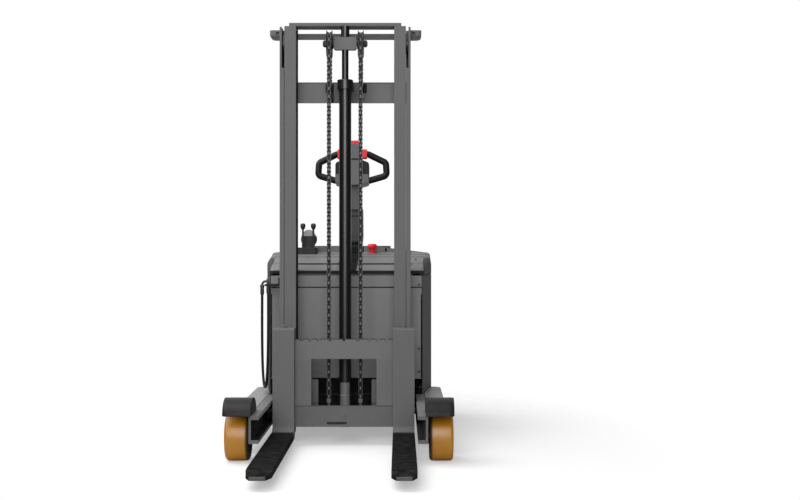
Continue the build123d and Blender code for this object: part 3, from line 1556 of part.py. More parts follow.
def chain_strand(y, low, links):
    """Straight run of roller chain: wide and narrow links in turn, a cross bar at every pin but the last."""
    wide = CHAIN_INNER_HALF + 2 * CHAIN_PLATE
    narrow = CHAIN_INNER_HALF + CHAIN_PLATE
    left, right = [], []
    for i in range(links):
        half = wide if i % 2 else narrow
        for z in (low + i * CHAIN_PITCH, low + (i + 1) * CHAIN_PITCH):
            right.append((CHAIN_X + half, z))
            left.append((CHAIN_X - half, z))
    depth = CHAIN_PLATE_HEIGHT / 2
    run = plate_y(right + left[::-1], (y - depth, y + depth))
    inside = (CHAIN_X - CHAIN_INNER_HALF, CHAIN_X + CHAIN_INNER_HALF)
    top = low + links * CHAIN_PITCH
    cuts = [
        block(inside, (y - depth - 1, y - CHAIN_BAR), (low - 1, top + 1)),
        block(inside, (y + CHAIN_BAR, y + depth + 1), (low - 1, top + 1)),
    ]
    for i in range(links):
        start = low + i * CHAIN_PITCH + CHAIN_BAR
        end = low + (i + 1) * CHAIN_PITCH - CHAIN_BAR
        cuts.append(block(inside, (y - depth - 1, y + depth + 1), (start, top + 1 if i == links - 1 else end)))
    return run - cuts


def chain_wrap():
    """Chain over the top of its wheel: two half-ring plates with a roller in each tooth seat."""
    depth = CHAIN_PLATE_HEIGHT / 2
    outer, inner = CHAIN_PITCH_RADIUS + depth, CHAIN_PITCH_RADIUS - depth
    ring = make_face(
        [
            ThreePointArc(polar(outer, 0), polar(outer, 90), polar(outer, 180)),
            Line(polar(outer, 180), polar(inner, 180)),
            ThreePointArc(polar(inner, 180), polar(inner, 90), polar(inner, 0)),
            Line(polar(inner, 0), polar(outer, 0)),
        ]
    )
    plate = Pos(CHAIN_X + CHAIN_INNER_HALF, LIFT_Y, CROSSHEAD_MID) * extrude(Plane.YZ * ring, 2 * CHAIN_PLATE)
    mirrored = Pos(2 * CHAIN_X, 0, 0) * other_side(plate)
    whole = plate + mirrored
    for i in range(CHAIN_TEETH // 2 + 1):
        y, z = polar(CHAIN_PITCH_RADIUS, i * 360 / CHAIN_TEETH)
        reach = CHAIN_INNER_HALF + 1
        whole += bar("x", CHAIN_ROLLER, (CHAIN_X - reach, CHAIN_X + reach), LIFT_Y + y, CROSSHEAD_MID + z)
    return whole


def lift_chain():
    """One lift chain, from the fork carriage over its wheel to the outer mast's fixed anchor."""
    front = chain_strand(LIFT_Y - CHAIN_PITCH_RADIUS, FRONT_CHAIN_END, FRONT_LINKS)
    rear = chain_strand(LIFT_Y + CHAIN_PITCH_RADIUS, REAR_CHAIN_END, REAR_LINKS)
    return front + rear + chain_wrap()


right_inner = inner_rail()
save("inner_mast", *both(right_inner), *inner_ties())
save("inner_rollers", *inner_rollers())
save("lift_rod", lift_rod())
save("crosshead", crosshead())
right_chain_wheel = chain_wheel()
save("right_chain_wheel", right_chain_wheel)
save("left_chain_wheel", other_side(right_chain_wheel))
save("lift_chains", *both(lift_chain()))


# Fork carriage and forks

def fork_carriage():
    """Two fork bars on uprights, with roller plates behind and the chains' moving anchors."""
    span = (BAR_FRONT, BAR_BACK)
    half = BAR_HALF
    low, high = UPPER_BAR
    upper = plate_y([(-half, low), (half, low), (half, high, 5), (-half, high, 5)], span)
    notch = (high - NOTCH_DEPTH, high + 1)
    low, high = LOWER_BAR
    lower = plate_y([(-half, low, 5), (half, low, 5), (half, high), (-half, high)], span)
    frame = upper + lower
    for place in NOTCH_PLACES:
        for x in {place, -place}:
            across = (x - NOTCH_WIDTH / 2, x + NOTCH_WIDTH / 2)
            frame -= block(across, (BAR_FRONT - 1, BAR_BACK + 1), notch)
    frame -= block((-79, 14), (BAR_FRONT - 1, BAR_FRONT + 4), (LOWER_BAR[0] + 15, LOWER_BAR[0] + 19))
    upright = block((WINDOW_HALF, UPRIGHT_OUT), span, (LOWER_BAR[1], UPPER_BAR[0]))
    cheek = plate_x(
        [
            (BAR_BACK, CHEEK_Z[0]),
            (RAIL_MID + 10, CHEEK_Z[0]),
            (RAIL_MID + 38, CHEEK_Z[0] + 40, 20),
            (RAIL_MID + 38, CHEEK_Z[1], 26),
            (BAR_BACK, CHEEK_Z[1]),
        ],
        (INNER_RAIL_IN - 24, INNER_RAIL_IN - 6),
    )
    strand = LIFT_Y - CHAIN_PITCH_RADIUS
    gusset = plate_y(
        [(126, CHEEK_Z[0], 6), (INNER_RAIL_IN - 24, CHEEK_Z[0]), (INNER_RAIL_IN - 24, 297), (126, 297, 6)],
        (strand + 20, strand + 30),
    )
    end = FRONT_CHAIN_END - SLIDE_CLEAR
    lug = block((CHAIN_X - 14, CHAIN_X + 14), (BAR_BACK, strand + 13), (end - 60, end - 38))
    stem = bar("z", 7, (end - 38, end - 12), CHAIN_X, strand)
    clevis = block((CHAIN_X - 9, CHAIN_X + 9), (strand - 9, strand + 9), (end - 18, end))
    for piece in (upright, cheek, gusset, lug, stem, clevis):
        frame += piece
        frame += other_side(piece)
    return frame


def carriage_rollers():
    face = INNER_RAIL_IN - 6
    start = INNER_WEB_IN - 3 - ROLLER_WIDTH
    rollers = []
    for z in (CHEEK_Z[0] + 66, CHEEK_Z[1] - 30):
        rollers += both(stud_roller(ROLLER_RADIUS, face, start, start + ROLLER_WIDTH, RAIL_MID, z))
    return rollers


def fork():
    """Forged fork: tapered blade with a bevelled tip, round heel, shank and two hooks over the bars."""
    tip = FORK_HEEL_Y - FORK_LENGTH
    back = FORK_HEEL_Y + SHANK_THICK
    top = FORK_BOTTOM + BLADE_THICK
    behind = BAR_BACK + SLIDE_CLEAR
    lip = behind + HOOK_LIP
    over = UPPER_BAR[1] + SLIDE_CLEAR
    under = LOWER_BAR[0] - SLIDE_CLEAR
    solid = plate_x(
        [
            (tip, FORK_BOTTOM + 6, 4),
            (FORK_HEEL_Y - 160, FORK_BOTTOM, 300),
            (back, FORK_BOTTOM, 40),
            (back + 8, under - 26, 4),
            (lip, under - 26, 8),
            (lip, under + 14, 3),
            (behind, under + 14, 3),
            (behind, under),
            (back, under),
            (back, over),
            (behind, over),
            (behind, over - HOOK_DEPTH, 3),
            (lip, over - HOOK_DEPTH, 3),
            (lip, FORK_TOP, 10),
            (FORK_HEEL_Y, FORK_TOP, 8),
            (FORK_HEEL_Y, top, 26),
            (tip + 90, top, 120),
            (tip, FORK_BOTTOM + 6 + BLADE_TIP_THICK, 5),
        ],
        (FORK_CENTRE - FORK_WIDTH / 2, FORK_CENTRE + FORK_WIDTH / 2),
    )
    half = FORK_WIDTH / 2
    plan = plate_z(
        [
            (FORK_CENTRE - half, tip + 60, 30),
            (FORK_CENTRE - half + 20, tip, 10),
            (FORK_CENTRE + half - 20, tip, 10),
            (FORK_CENTRE + half, tip + 60, 30),
            (FORK_CENTRE + half, lip + 5),
            (FORK_CENTRE - half, lip + 5),
        ],
        (0, FORK_TOP + 5),
    )
    knob = FORK_TOP + 14
    latch = spun([(0, FORK_TOP), (9, FORK_TOP), (9, knob, 3), (0, knob)], FORK_CENTRE, FORK_HEEL_Y + 60)
    return (solid & plan) + latch


right_fork = fork()
save("fork_carriage", fork_carriage())
save("carriage_rollers", *carriage_rollers())
save("right_fork", right_fork)
save("left_fork", other_side(right_fork))


# Hydraulic hoses that hang in a loop between the body's left side and the mast

def hose(shift_x, shift_y):
    """One hose along its route: straight runs with tangent arcs, and a crimped ferrule at each end."""
    points = [Vector(x + shift_x, y + shift_y, z) for x, y, z in HOSE_ROUTE]
    radii = []
    for before, here, after in zip(points, points[1:], points[2:]):
        half = math.radians(180 - (before - here).get_angle(after - here)) / 2
        radii.append(0.45 * min((before - here).length, (after - here).length) / math.tan(half))
    path = FilletPolyline(*points, radius=radii)
    tube = sweep(Plane(path @ 0, z_dir=path % 0) * Circle(HOSE_RADIUS), path)
    first, last = points[0], points[-1]
    collar = bar("z", HOSE_RADIUS + 3, (last.Z - 40, last.Z), last.X, last.Y)
    ferrule = bar("z", HOSE_RADIUS + 3, (first.Z - 34, first.Z), first.X, first.Y)
    return tube + collar + ferrule


def elbow(shift_x, shift_y):
    """Swept bulkhead elbow from the left side panel down to the ferrule of one hose."""
    x, y, z = HOSE_ROUTE[0]
    x, y = x + shift_x, y + shift_y
    taper = (BODY_HALF - FRONT_HALF) / (TAPER_Y - FRONT_Y)
    skin = -(FRONT_HALF + taper * (y - FRONT_Y))
    high = z + ELBOW_RISE
    path = FilletPolyline((skin + 20, y, high), (x, y, high), (x, y, z), radius=ELBOW_RADIUS)
    pipe = sweep(Plane(path @ 0, z_dir=path % 0) * Circle(HOSE_RADIUS - 1), path)
    nut = Pos(skin + 4, y, z + ELBOW_RISE) * Rot(0, -90, 0) * extrude(RegularPolygon(13, 6), 14)
    swivel = Pos(x, y, z) * extrude(RegularPolygon(10.5, 6), 12)
    outside = pipe + nut + swivel - other_side(right_side)
    return outside.solids().sort_by(SortBy.VOLUME)[-1]


save("mast_hoses", hose(0, 0), hose(*HOSE_SHIFT))
save("hose_elbows", elbow(0, 0), elbow(*HOSE_SHIFT))
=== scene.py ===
import math

import bpy
import numpy as np
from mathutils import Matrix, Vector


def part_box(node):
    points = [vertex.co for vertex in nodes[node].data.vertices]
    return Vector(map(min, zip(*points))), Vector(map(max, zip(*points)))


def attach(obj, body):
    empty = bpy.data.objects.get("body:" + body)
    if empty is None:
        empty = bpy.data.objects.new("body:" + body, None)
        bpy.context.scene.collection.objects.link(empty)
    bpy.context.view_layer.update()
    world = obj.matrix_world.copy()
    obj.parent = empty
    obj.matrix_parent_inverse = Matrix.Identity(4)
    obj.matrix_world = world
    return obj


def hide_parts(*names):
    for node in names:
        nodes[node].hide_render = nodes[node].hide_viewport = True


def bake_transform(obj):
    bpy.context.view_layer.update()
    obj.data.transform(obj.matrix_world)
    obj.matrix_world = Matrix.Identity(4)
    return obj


# A stand-on electric reach forklift. Metres, +Z up, forks to -Y. Left is -X and right is +X, as seen from in front of
# the forks.
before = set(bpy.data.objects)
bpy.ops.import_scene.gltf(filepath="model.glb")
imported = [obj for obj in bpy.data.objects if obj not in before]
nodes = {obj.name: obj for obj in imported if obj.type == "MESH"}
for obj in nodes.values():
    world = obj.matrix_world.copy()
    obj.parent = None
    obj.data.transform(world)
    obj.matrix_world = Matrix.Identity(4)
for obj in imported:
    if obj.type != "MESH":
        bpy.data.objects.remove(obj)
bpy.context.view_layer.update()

# Camera, from the photograph's perspective: level, square on to the forks, a little to the right
CAMERA_PLACE = (0.260, -6.041, 0.908)
FOCAL_PIXELS = 1251.0
PHOTO_WIDTH = 800
SENSOR = 36.0
CAMERA_REACH = 100.0

# Lift chains, as the source has them: 3/4 inch pitch on wheels of sixteen teeth, CHAIN_X to either side of the middle
CHAIN_PITCH = 0.01905
CHAIN_TEETH = 16
CHAIN_X = 0.0743
CHAIN_PITCH_RADIUS = CHAIN_PITCH / 2 / math.sin(math.pi / CHAIN_TEETH)
CHAIN_INNER_HALF = 0.0047
CHAIN_PLATE = 0.0021
CHAIN_PLATE_PLAY = 0.0003
CHAIN_PLATE_HALF = 0.0082
CHAIN_INNER_PLATE_HALF = 0.0072
CHAIN_FILLER_HALF = 0.0070
CHAIN_FILLER_WIDE = 0.0038
CHAIN_FILLER_REACH = 0.5
CHAIN_SPACER_HALF = 0.0034
CHAIN_PIN = 0.0030
CHAIN_PIN_PROUD = 0.0010
CHAIN_PIN_SIDES = 8
CHAIN_WAIST = 0.22
FRONT_LINKS = 88
REAR_LINKS = 10

# How bright each place of a link is painted, a painted highlight, from 0 to 1
HIGHLIGHT_FLAT = 1.0
HIGHLIGHT_PLATE = 0.8
HIGHLIGHT_PIN = 0.5
HIGHLIGHT_END = 0.1

# Hoses between the truck's left side and the mast: the source's route, moved to the truck's own origin. The loop hangs
# between the route's points number HOSE_LOOP from either end.
HOSE_RADIUS = 0.0065
HOSE_STEPS = 8
HOSE_ORDER = 3
HOSE_ORIGIN = 0.638
HOSE_SHIFTS = ((0.0, 0.0), (-0.003, 0.026))
HOSE_ROUTE = (
    (-0.4215, 0.7840, 0.7230),
    (-0.4220, 0.7845, 0.6100),
    (-0.4220, 0.7855, 0.4900),
    (-0.4210, 0.7850, 0.4000),
    (-0.4190, 0.7835, 0.3300),
    (-0.4150, 0.7715, 0.2840),
    (-0.4080, 0.7380, 0.2505),
    (-0.3975, 0.6920, 0.2380),
    (-0.3870, 0.6460, 0.2505),
    (-0.3800, 0.6125, 0.2840),
    (-0.3760, 0.6005, 0.3300),
    (-0.3735, 0.5990, 0.4000),
    (-0.3720, 0.5985, 0.4900),
    (-0.3715, 0.5995, 0.6100),
    (-0.3720, 0.6000, 0.7347),
)


# Meshes

def add_piece(name, points, faces, material, body, smooth=True):
    """Object at the origin from an array of points and a list of face arrays, finished and set on a body."""
    mesh = bpy.data.meshes.new(name)
    mesh.from_pydata(points.reshape(-1, 3).tolist(), [], [f for group in faces for f in group.tolist()])
    mesh.polygons.foreach_set("use_smooth", np.full(len(mesh.polygons), smooth))
    mesh.materials.append(material)
    mesh.update()
    piece = bpy.data.objects.new(name, mesh)
    bpy.context.scene.collection.objects.link(piece)
    if body:
        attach(piece, body)
    return piece


def grid_faces(rows, columns):
    """Quads between neighbouring points of a tube's grid: rows along it, and columns round it that close up."""
    i, j = np.meshgrid(np.arange(rows - 1), np.arange(columns), indexing="ij")
    k = (j + 1) % columns
    return np.stack([i * columns + j, i * columns + k, (i + 1) * columns + k, (i + 1) * columns + j], -1).reshape(-1, 4)


def end_caps(rows, columns):
    """One face over each end ring of a tube's grid."""
    ring = np.arange(columns)
    return np.stack([ring[::-1], ring + (rows - 1) * columns])


def lathe(profile, axis, centre, sides=64):
    """Points of a turned shape: each profile pair (distance along the axis, radius) is carried round a circle.
    The point at angle a is centre + along * axis + radius * (cos a * u + sin a * v), u and v square to the axis."""
    profile = np.array(profile, float)
    axis = np.array(axis, float)
    u = np.roll(axis, 1)
    v = np.cross(axis, u)
    angle = np.arange(sides) * 2 * math.pi / sides
    circle = np.cos(angle)[:, None] * u + np.sin(angle)[:, None] * v
    along = profile[:, 0, None, None] * axis
    return np.array(centre, float) + along + profile[:, 1, None, None] * circle


def turned_piece(name, profile, axis, centre, material, body, sides=64):
    """A turned piece with closed ends."""
    points = lathe(profile, axis, centre, sides)
    rows = len(profile)
    return add_piece(name, points, [grid_faces(rows, sides), end_caps(rows, sides)], material, body)


def ring_piece(name, profile, axis, centre, material, body, sides=64):
    """A turned ring: its profile is a closed loop, so the last row of points joins the first."""
    points = lathe(profile, axis, centre, sides)
    faces = grid_faces(len(profile) + 1, sides) % (len(profile) * sides)
    return add_piece(name, points, [faces], material, body, smooth=False)


def rounded(profile, radius, steps=6):
    """A profile whose inner corners are rounded: each corner becomes a curve from a point before it to one after it,
    p(t) = (1-t)^2 before + 2t(1-t) corner + t^2 after, with the two points a radius away or half the run."""
    profile = np.array(profile, float)
    out = [profile[:1]]
    t = np.linspace(0, 1, steps)[:, None]
    for before, corner, after in zip(profile, profile[1:], profile[2:]):
        back, ahead = before - corner, after - corner
        a = corner + back * min(0.5, radius / max(np.linalg.norm(back), 1e-9))
        b = corner + ahead * min(0.5, radius / max(np.linalg.norm(ahead), 1e-9))
        out.append((1 - t) ** 2 * a + 2 * t * (1 - t) * corner + t ** 2 * b)
    out.append(profile[-1:])
    return np.concatenate(out)


def tube_points(path, radius, sides=16):
    """Points of a tube: round every point of the path, a circle square to the path's direction there.
    The circle's first axis is the direction crossed with X, so that it never turns over on this route."""
    path = np.array(path, float)
    along = np.gradient(path, axis=0)
    along /= np.linalg.norm(along, axis=1)[:, None]
    u = np.cross(along, (1.0, 0.0, 0.0))
    u /= np.linalg.norm(u, axis=1)[:, None]
    v = np.cross(along, u)
    angle = np.arange(sides) * 2 * math.pi / sides
    circle = np.cos(angle)[None, :, None] * u[:, None] + np.sin(angle)[None, :, None] * v[:, None]
    return path[:, None] + radius * circle


def ease(value, start, length):
    """Smooth rise from 0 to 1 over a length from a start: 3t^2 - 2t^3."""
    t = np.clip((value - start) / length, 0.0, 1.0)
    return t * t * (3 - 2 * t)


# Shader groups

# An edge starts and is full at these cosines between the rounded and the flat normal
EDGE_FLAT = 0.995
EDGE_FULL = 0.80
EDGE_SAMPLES = 4
# Detail of the noises, and the values between which dust and scratches show
CLOUD_DETAIL = (("Slow", 4.0), ("Fine", 2.0))
DUST_COLOUR = (0.30, 0.29, 0.275, 1.0)
DUST_ROUGH = 0.9
DUST_SCALE = 26.0
DUST_DETAIL = 6.0
DUST_PATCH = (0.35, 0.70)
SCRATCH_DETAIL = 3.0
SCRATCH_CUT = (0.60, 0.72)


def new_group(name, inputs, outputs):
    """Empty shader group with named sockets; an input's value is its default."""
    group = bpy.data.node_groups.new(name, "ShaderNodeTree")
    for label, kind, value in inputs:
        socket = group.interface.new_socket(label, in_out="INPUT", socket_type=kind)
        socket.default_value = value
    for label, kind in outputs:
        group.interface.new_socket(label, in_out="OUTPUT", socket_type=kind)
    return group, group.nodes.new("NodeGroupInput"), group.nodes.new("NodeGroupOutput")


def node(tree, kind, links=(), **settings):
    """Node with its settings, and links given as pairs (input name or place, socket or value)."""
    made = tree.nodes.new(kind)
    for key, value in settings.items():
        setattr(made, key, value)
    for key, source in links:
        if isinstance(source, bpy.types.NodeSocket):
            tree.links.new(source, made.inputs[key])
        else:
            made.inputs[key].default_value = source
    return made


def colour_mix(tree, factor, a, b):
    """Colour that goes from a to b with the factor; a and b are colours or sockets."""
    return node(tree, "ShaderNodeMix", [(0, factor), (6, a), (7, b)], data_type="RGBA").outputs[2]


def value_mix(tree, factor, a, b):
    """Value that goes from a to b with the factor; a and b are values or sockets."""
    return node(tree, "ShaderNodeMix", [(0, factor), (2, a), (3, b)], data_type="FLOAT").outputs[0]


def edge_group():
    """Rounded edges: a normal averaged over a small radius, and a mask of where it leaves the flat normal."""
    group, start, end = new_group(
        "rounded_edges",
        [("Radius", "NodeSocketFloat", 0.002)],
        [("Normal", "NodeSocketVector"), ("Edge", "NodeSocketFloat")],
    )
    bevel = node(group, "ShaderNodeBevel", [("Radius", start.outputs["Radius"])], samples=EDGE_SAMPLES)
    flat = node(group, "ShaderNodeNewGeometry")
    dot = node(
        group, "ShaderNodeVectorMath", [(0, bevel.outputs["Normal"]), (1, flat.outputs["True Normal"])],
        operation="DOT_PRODUCT",
    )
    mask = node(
        group, "ShaderNodeMapRange",
        [("Value", dot.outputs["Value"]), ("From Min", EDGE_FLAT), ("From Max", EDGE_FULL)],
    )
    group.links.new(bevel.outputs["Normal"], end.inputs["Normal"])
    group.links.new(mask.outputs["Result"], end.inputs["Edge"])
    return group


def cloud_group():
    """Slow and fine unevenness of a surface, on the object's own coordinates, both from 0 to 1."""
    group, start, end = new_group(
        "unevenness",
        [("Slow Scale", "NodeSocketFloat", 6.0), ("Fine Scale", "NodeSocketFloat", 900.0)],
        [("Slow", "NodeSocketFloat"), ("Fine", "NodeSocketFloat")],
    )
    place = node(group, "ShaderNodeTexCoord")
    for label, detail in CLOUD_DETAIL:
        noise = node(
            group, "ShaderNodeTexNoise",
            [("Vector", place.outputs["Object"]), ("Scale", start.outputs[label + " Scale"]), ("Detail", detail)],
        )
        group.links.new(noise.outputs["Fac"], end.inputs[label])
    return group


def dust_group():
    """Floor dust: a mask that is strongest at the floor, ends at a height, and is broken up by a patchy noise."""
    group, start, end = new_group(
        "floor_dust",
        [("Height", "NodeSocketFloat", 0.4), ("Amount", "NodeSocketFloat", 0.1)],
        [("Dust", "NodeSocketFloat")],
    )
    place = node(group, "ShaderNodeTexCoord")
    parts = node(group, "ShaderNodeSeparateXYZ", [(0, place.outputs["Object"])])
    low = node(
        group, "ShaderNodeMapRange",
        [("Value", parts.outputs["Z"]), ("From Min", start.outputs["Height"]), ("From Max", 0.0)],
    )
    noise = node(
        group, "ShaderNodeTexNoise",
        [("Vector", place.outputs["Object"]), ("Scale", DUST_SCALE), ("Detail", DUST_DETAIL)],
    )
    patch = node(
        group, "ShaderNodeMapRange",
        [("Value", noise.outputs["Fac"]), ("From Min", DUST_PATCH[0]), ("From Max", DUST_PATCH[1])],
    )
    both = node(group, "ShaderNodeMath", [(0, low.outputs[0]), (1, patch.outputs[0])], operation="MULTIPLY")
    some = node(group, "ShaderNodeMath", [(0, both.outputs[0]), (1, start.outputs["Amount"])], operation="MULTIPLY")
    group.links.new(some.outputs[0], end.inputs["Dust"])
    return group


def scratch_group():
    """Fine scratches: a noise drawn out along one direction by a stretch of the coordinates, cut to thin streaks."""
    group, start, end = new_group(
        "fine_scratches",
        [("Stretch", "NodeSocketVector", (1.0, 1.0, 1.0)), ("Amount", "NodeSocketFloat", 0.3)],
        [("Scratch", "NodeSocketFloat")],
    )
    place = node(group, "ShaderNodeTexCoord")
    drawn = node(
        group, "ShaderNodeVectorMath", [(0, place.outputs["Object"]), (1, start.outputs["Stretch"])],
        operation="MULTIPLY",
    )
    streak = node(
        group, "ShaderNodeTexNoise", [("Vector", drawn.outputs[0]), ("Scale", 1.0), ("Detail", SCRATCH_DETAIL)]
    )
    thin = node(
        group, "ShaderNodeMapRange",
        [("Value", streak.outputs["Fac"]), ("From Min", SCRATCH_CUT[0]), ("From Max", SCRATCH_CUT[1])],
    )
    some = node(group, "ShaderNodeMath", [(0, thin.outputs[0]), (1, start.outputs["Amount"])], operation="MULTIPLY")
    group.links.new(some.outputs[0], end.inputs["Scratch"])
    return group


def stripe_group():
    """A stripe: 1 where a value is within half a width of a centre, falling to 0 over a soft edge."""
    group, start, end = new_group(
        "stripe",
        [(label, "NodeSocketFloat", 0.0) for label in ("Value", "Centre", "Half", "Soft")],
        [("Mask", "NodeSocketFloat")],
    )
    gap = node(
        group, "ShaderNodeMath", [(0, start.outputs["Value"]), (1, start.outputs["Centre"])], operation="SUBTRACT"
    )
    away = node(group, "ShaderNodeMath", [(0, gap.outputs[0])], operation="ABSOLUTE")
    outer = node(group, "ShaderNodeMath", [(0, start.outputs["Half"]), (1, start.outputs["Soft"])])
    mask = node(
        group, "ShaderNodeMapRange",
        [("Value", away.outputs[0]), ("From Min", outer.outputs[0]), ("From Max", start.outputs["Half"])],
    )
    group.links.new(mask.outputs[0], end.inputs["Mask"])
    return group


EDGES = edge_group()
CLOUDS = cloud_group()
DUST = dust_group()
SCRATCHES = scratch_group()
STRIPE = stripe_group()


# Finishes

ROUGH_SPREAD = 0.06
BUMP_DISTANCE = 0.001


def mark_mask(tree, limits):
    """Mask of a marked place: the product of its stripes. A limit is (axis, centre, half, soft); the axis side is the
    distance to either side of the middle."""
    place = node(tree, "ShaderNodeTexCoord")
    parts = node(tree, "ShaderNodeSeparateXYZ", [(0, place.outputs["Object"])])
    mask = None
    for axis, centre, half, soft in limits:
        value = parts.outputs["X" if axis == "side" else axis]
        if axis == "side":
            value = node(tree, "ShaderNodeMath", [(0, value)], operation="ABSOLUTE").outputs[0]
        stripe = node(tree, "ShaderNodeGroup", node_tree=STRIPE)
        tree.links.new(value, stripe.inputs["Value"])
        for label, number in (("Centre", centre), ("Half", half), ("Soft", soft)):
            stripe.inputs[label].default_value = number
        found = stripe.outputs["Mask"]
        mask = found if mask is None else node(
            tree, "ShaderNodeMath", [(0, mask), (1, found)], operation="MULTIPLY"
        ).outputs[0]
    return mask


def finish_material(
    name, colour, rough, edge_colour=None, edge_radius=0.0015, uneven=0.05, grain=700.0, bump=0.02, metallic=0.0,
    specular=0.3, slow=6.0, dust=(0.35, 0.1), scratches=None, marks=(), painted_highlight=None,
):
    """A finish. Its colour drifts slowly by 'uneven', takes other colours at its marks (limits, colour, roughness),
    takes a lighter colour as a painted highlight where the mesh's highlight value says so, lightens along edges, shows
    scratches (stretch, amount, colour), and is dulled by dust (height, amount). Roughness and bump follow the noises."""
    material = bpy.data.materials.new(name)
    material.use_nodes = True
    tree = material.node_tree
    shader = tree.nodes["Principled BSDF"]
    shader.inputs["Metallic"].default_value = metallic
    shader.inputs["Specular IOR Level"].default_value = specular
    edges = node(tree, "ShaderNodeGroup", node_tree=EDGES)
    edges.inputs["Radius"].default_value = edge_radius
    clouds = node(tree, "ShaderNodeGroup", node_tree=CLOUDS)
    clouds.inputs["Slow Scale"].default_value = slow
    clouds.inputs["Fine Scale"].default_value = grain
    dark = tuple(c * (1 - uneven) for c in colour) + (1.0,)
    light = tuple(min(1.0, c * (1 + uneven)) for c in colour) + (1.0,)
    paint = colour_mix(tree, clouds.outputs["Slow"], dark, light)
    dull = node(
        tree, "ShaderNodeMapRange",
        [("Value", clouds.outputs["Slow"]), ("To Min", rough - ROUGH_SPREAD), ("To Max", rough + ROUGH_SPREAD)],
    ).outputs[0]
    for limits, mark_colour, mark_rough in marks:
        mask = mark_mask(tree, limits)
        paint = colour_mix(tree, mask, paint, tuple(mark_colour) + (1.0,))
        dull = value_mix(tree, mask, dull, mark_rough)
    # painted highlight: a lighter colour where the mesh's highlight value says so
    if painted_highlight:
        highlight_values = node(tree, "ShaderNodeAttribute", attribute_name="painted_highlight").outputs["Fac"]
        paint = colour_mix(tree, highlight_values, paint, tuple(painted_highlight) + (1.0,))
    if edge_colour:
        paint = colour_mix(tree, edges.outputs["Edge"], paint, tuple(edge_colour) + (1.0,))
    if scratches:
        stretch, amount, bare = scratches
        lines = node(tree, "ShaderNodeGroup", node_tree=SCRATCHES)
        lines.inputs["Stretch"].default_value = stretch
        lines.inputs["Amount"].default_value = amount
        paint = colour_mix(tree, lines.outputs["Scratch"], paint, tuple(bare) + (1.0,))
    if dust:
        film = node(tree, "ShaderNodeGroup", node_tree=DUST)
        film.inputs["Height"].default_value, film.inputs["Amount"].default_value = dust
        paint = colour_mix(tree, film.outputs["Dust"], paint, DUST_COLOUR)
        dull = value_mix(tree, film.outputs["Dust"], dull, DUST_ROUGH)
    tree.links.new(paint, shader.inputs["Base Color"])
    tree.links.new(dull, shader.inputs["Roughness"])
    height = node(
        tree, "ShaderNodeBump",
        [
            ("Strength", bump), ("Distance", BUMP_DISTANCE), ("Height", clouds.outputs["Fine"]),
            ("Normal", edges.outputs["Normal"]),
        ],
    )
    tree.links.new(height.outputs["Normal"], shader.inputs["Normal"])
    return material


GREY = (0.156, 0.156, 0.158)
GREY_EDGE = (0.19, 0.19, 0.193)
MAST_PAINT = finish_material(
    "mast_paint", GREY, 0.54, GREY_EDGE, specular=0.10,
    marks=[
        # bottom tie, painted black as shade, deep behind the carriage
        ([("side", 0.0, 0.215, 0.004), ("Z", 0.15, 0.10, 0.002)], (0.004, 0.004, 0.004), 0.8),
        # painted shade: a dark strip along each rail
        ([("side", 0.2445, 0.0130, 0.0004), ("Y", -0.053, 0.060, 0.001)], (0.008, 0.008, 0.0082), 0.5),
    ],
)
OUTER_MAST_PAINT = finish_material(
    "outer_mast_paint", GREY, 0.54, GREY_EDGE, specular=0.10,
    marks=[
        # hose bracket on the left rail
        ([("X", -0.356, 0.0445, 0.0004), ("Z", 0.756, 0.03, 0.001)], (0.02, 0.02, 0.02), 0.6),
        # bottom beam, painted black as shade, deep behind the carriage
        ([("side", 0.0, 0.215, 0.004), ("Z", 0.15, 0.17, 0.002)], (0.004, 0.004, 0.004), 0.8),
        # mid beam, painted lighter than the rest of the mast: painted light in place of the light its recess behind the
        # rails keeps off
        ([("side", 0.0, 0.255, 0.002), ("Z", 1.658, 0.052, 0.001)], (0.212, 0.212, 0.214), 0.52),
        # chain anchors on the mid beam, and their bolts
        ([("side", 0.0795, 0.0185, 0.003), ("Z", 1.688, 0.021, 0.003)], (0.012, 0.012, 0.012), 0.5),
        ([("side", 0.0655, 0.0040, 0.002), ("Z", 1.645, 0.024, 0.003)], (0.016, 0.016, 0.016), 0.5),
    ],
)
CARRIAGE_PAINT = finish_material(
    "carriage_paint", GREY, 0.52, GREY_EDGE, specular=0.25,
    marks=[
        # upper bar painted lighter and lower bar darker: painted light and shade, for how the light falls on them
        ([("Z", 0.4485, 0.050, 0.002)], (0.170, 0.170, 0.172), 0.52),
        ([("Z", 0.1350, 0.050, 0.002)], (0.130, 0.130, 0.132), 0.52),
        # painted shade along the top edge of the upper bar, and in a line under its notches
        ([("Z", 0.4945, 0.0013, 0.0004)], (0.018, 0.018, 0.018), 0.7),
        ([("Z", 0.4850, 0.0008, 0.0004), ("Y", -0.20, 0.0215, 0.001)], (0.018, 0.018, 0.018), 0.7),
        # top edge of the lower bar
        ([("Z", 0.1853, 0.0016, 0.0004)], (0.05, 0.05, 0.05), 0.6),
        # slot in the lower bar, and the short line above its end
        ([("X", -0.0328, 0.0455, 0.0005), ("Z", 0.105, 0.0055, 0.0005)], (0.015, 0.015, 0.015), 0.6),
        ([("X", 0.0055, 0.0016, 0.0005), ("Z", 0.134, 0.014, 0.002)], (0.08, 0.08, 0.08), 0.6),
    ],
)
CROSSHEAD_PAINT = finish_material(
    "crosshead_paint", GREY, 0.52, GREY_EDGE, specular=0.25,
    # the wheels' pins
    marks=[([("side", 0.100, 0.0435, 0.0004)], (0.028, 0.028, 0.028), 0.45)],
)
COVER_PAINT = finish_material(
    "cover_paint", (0.252, 0.252, 0.255), 0.54, (0.28, 0.28, 0.285), grain=420, bump=0.03, specular=0.2,
    # groove across the panel
    marks=[([("Z", 0.727, 0.0034, 0.0003)], (0.028, 0.028, 0.028), 0.8)],
)
SIDE_PAINT = finish_material(
    "side_paint", (0.108, 0.108, 0.110), 0.70, (0.13, 0.13, 0.133), grain=420, bump=0.03, specular=0.08
)
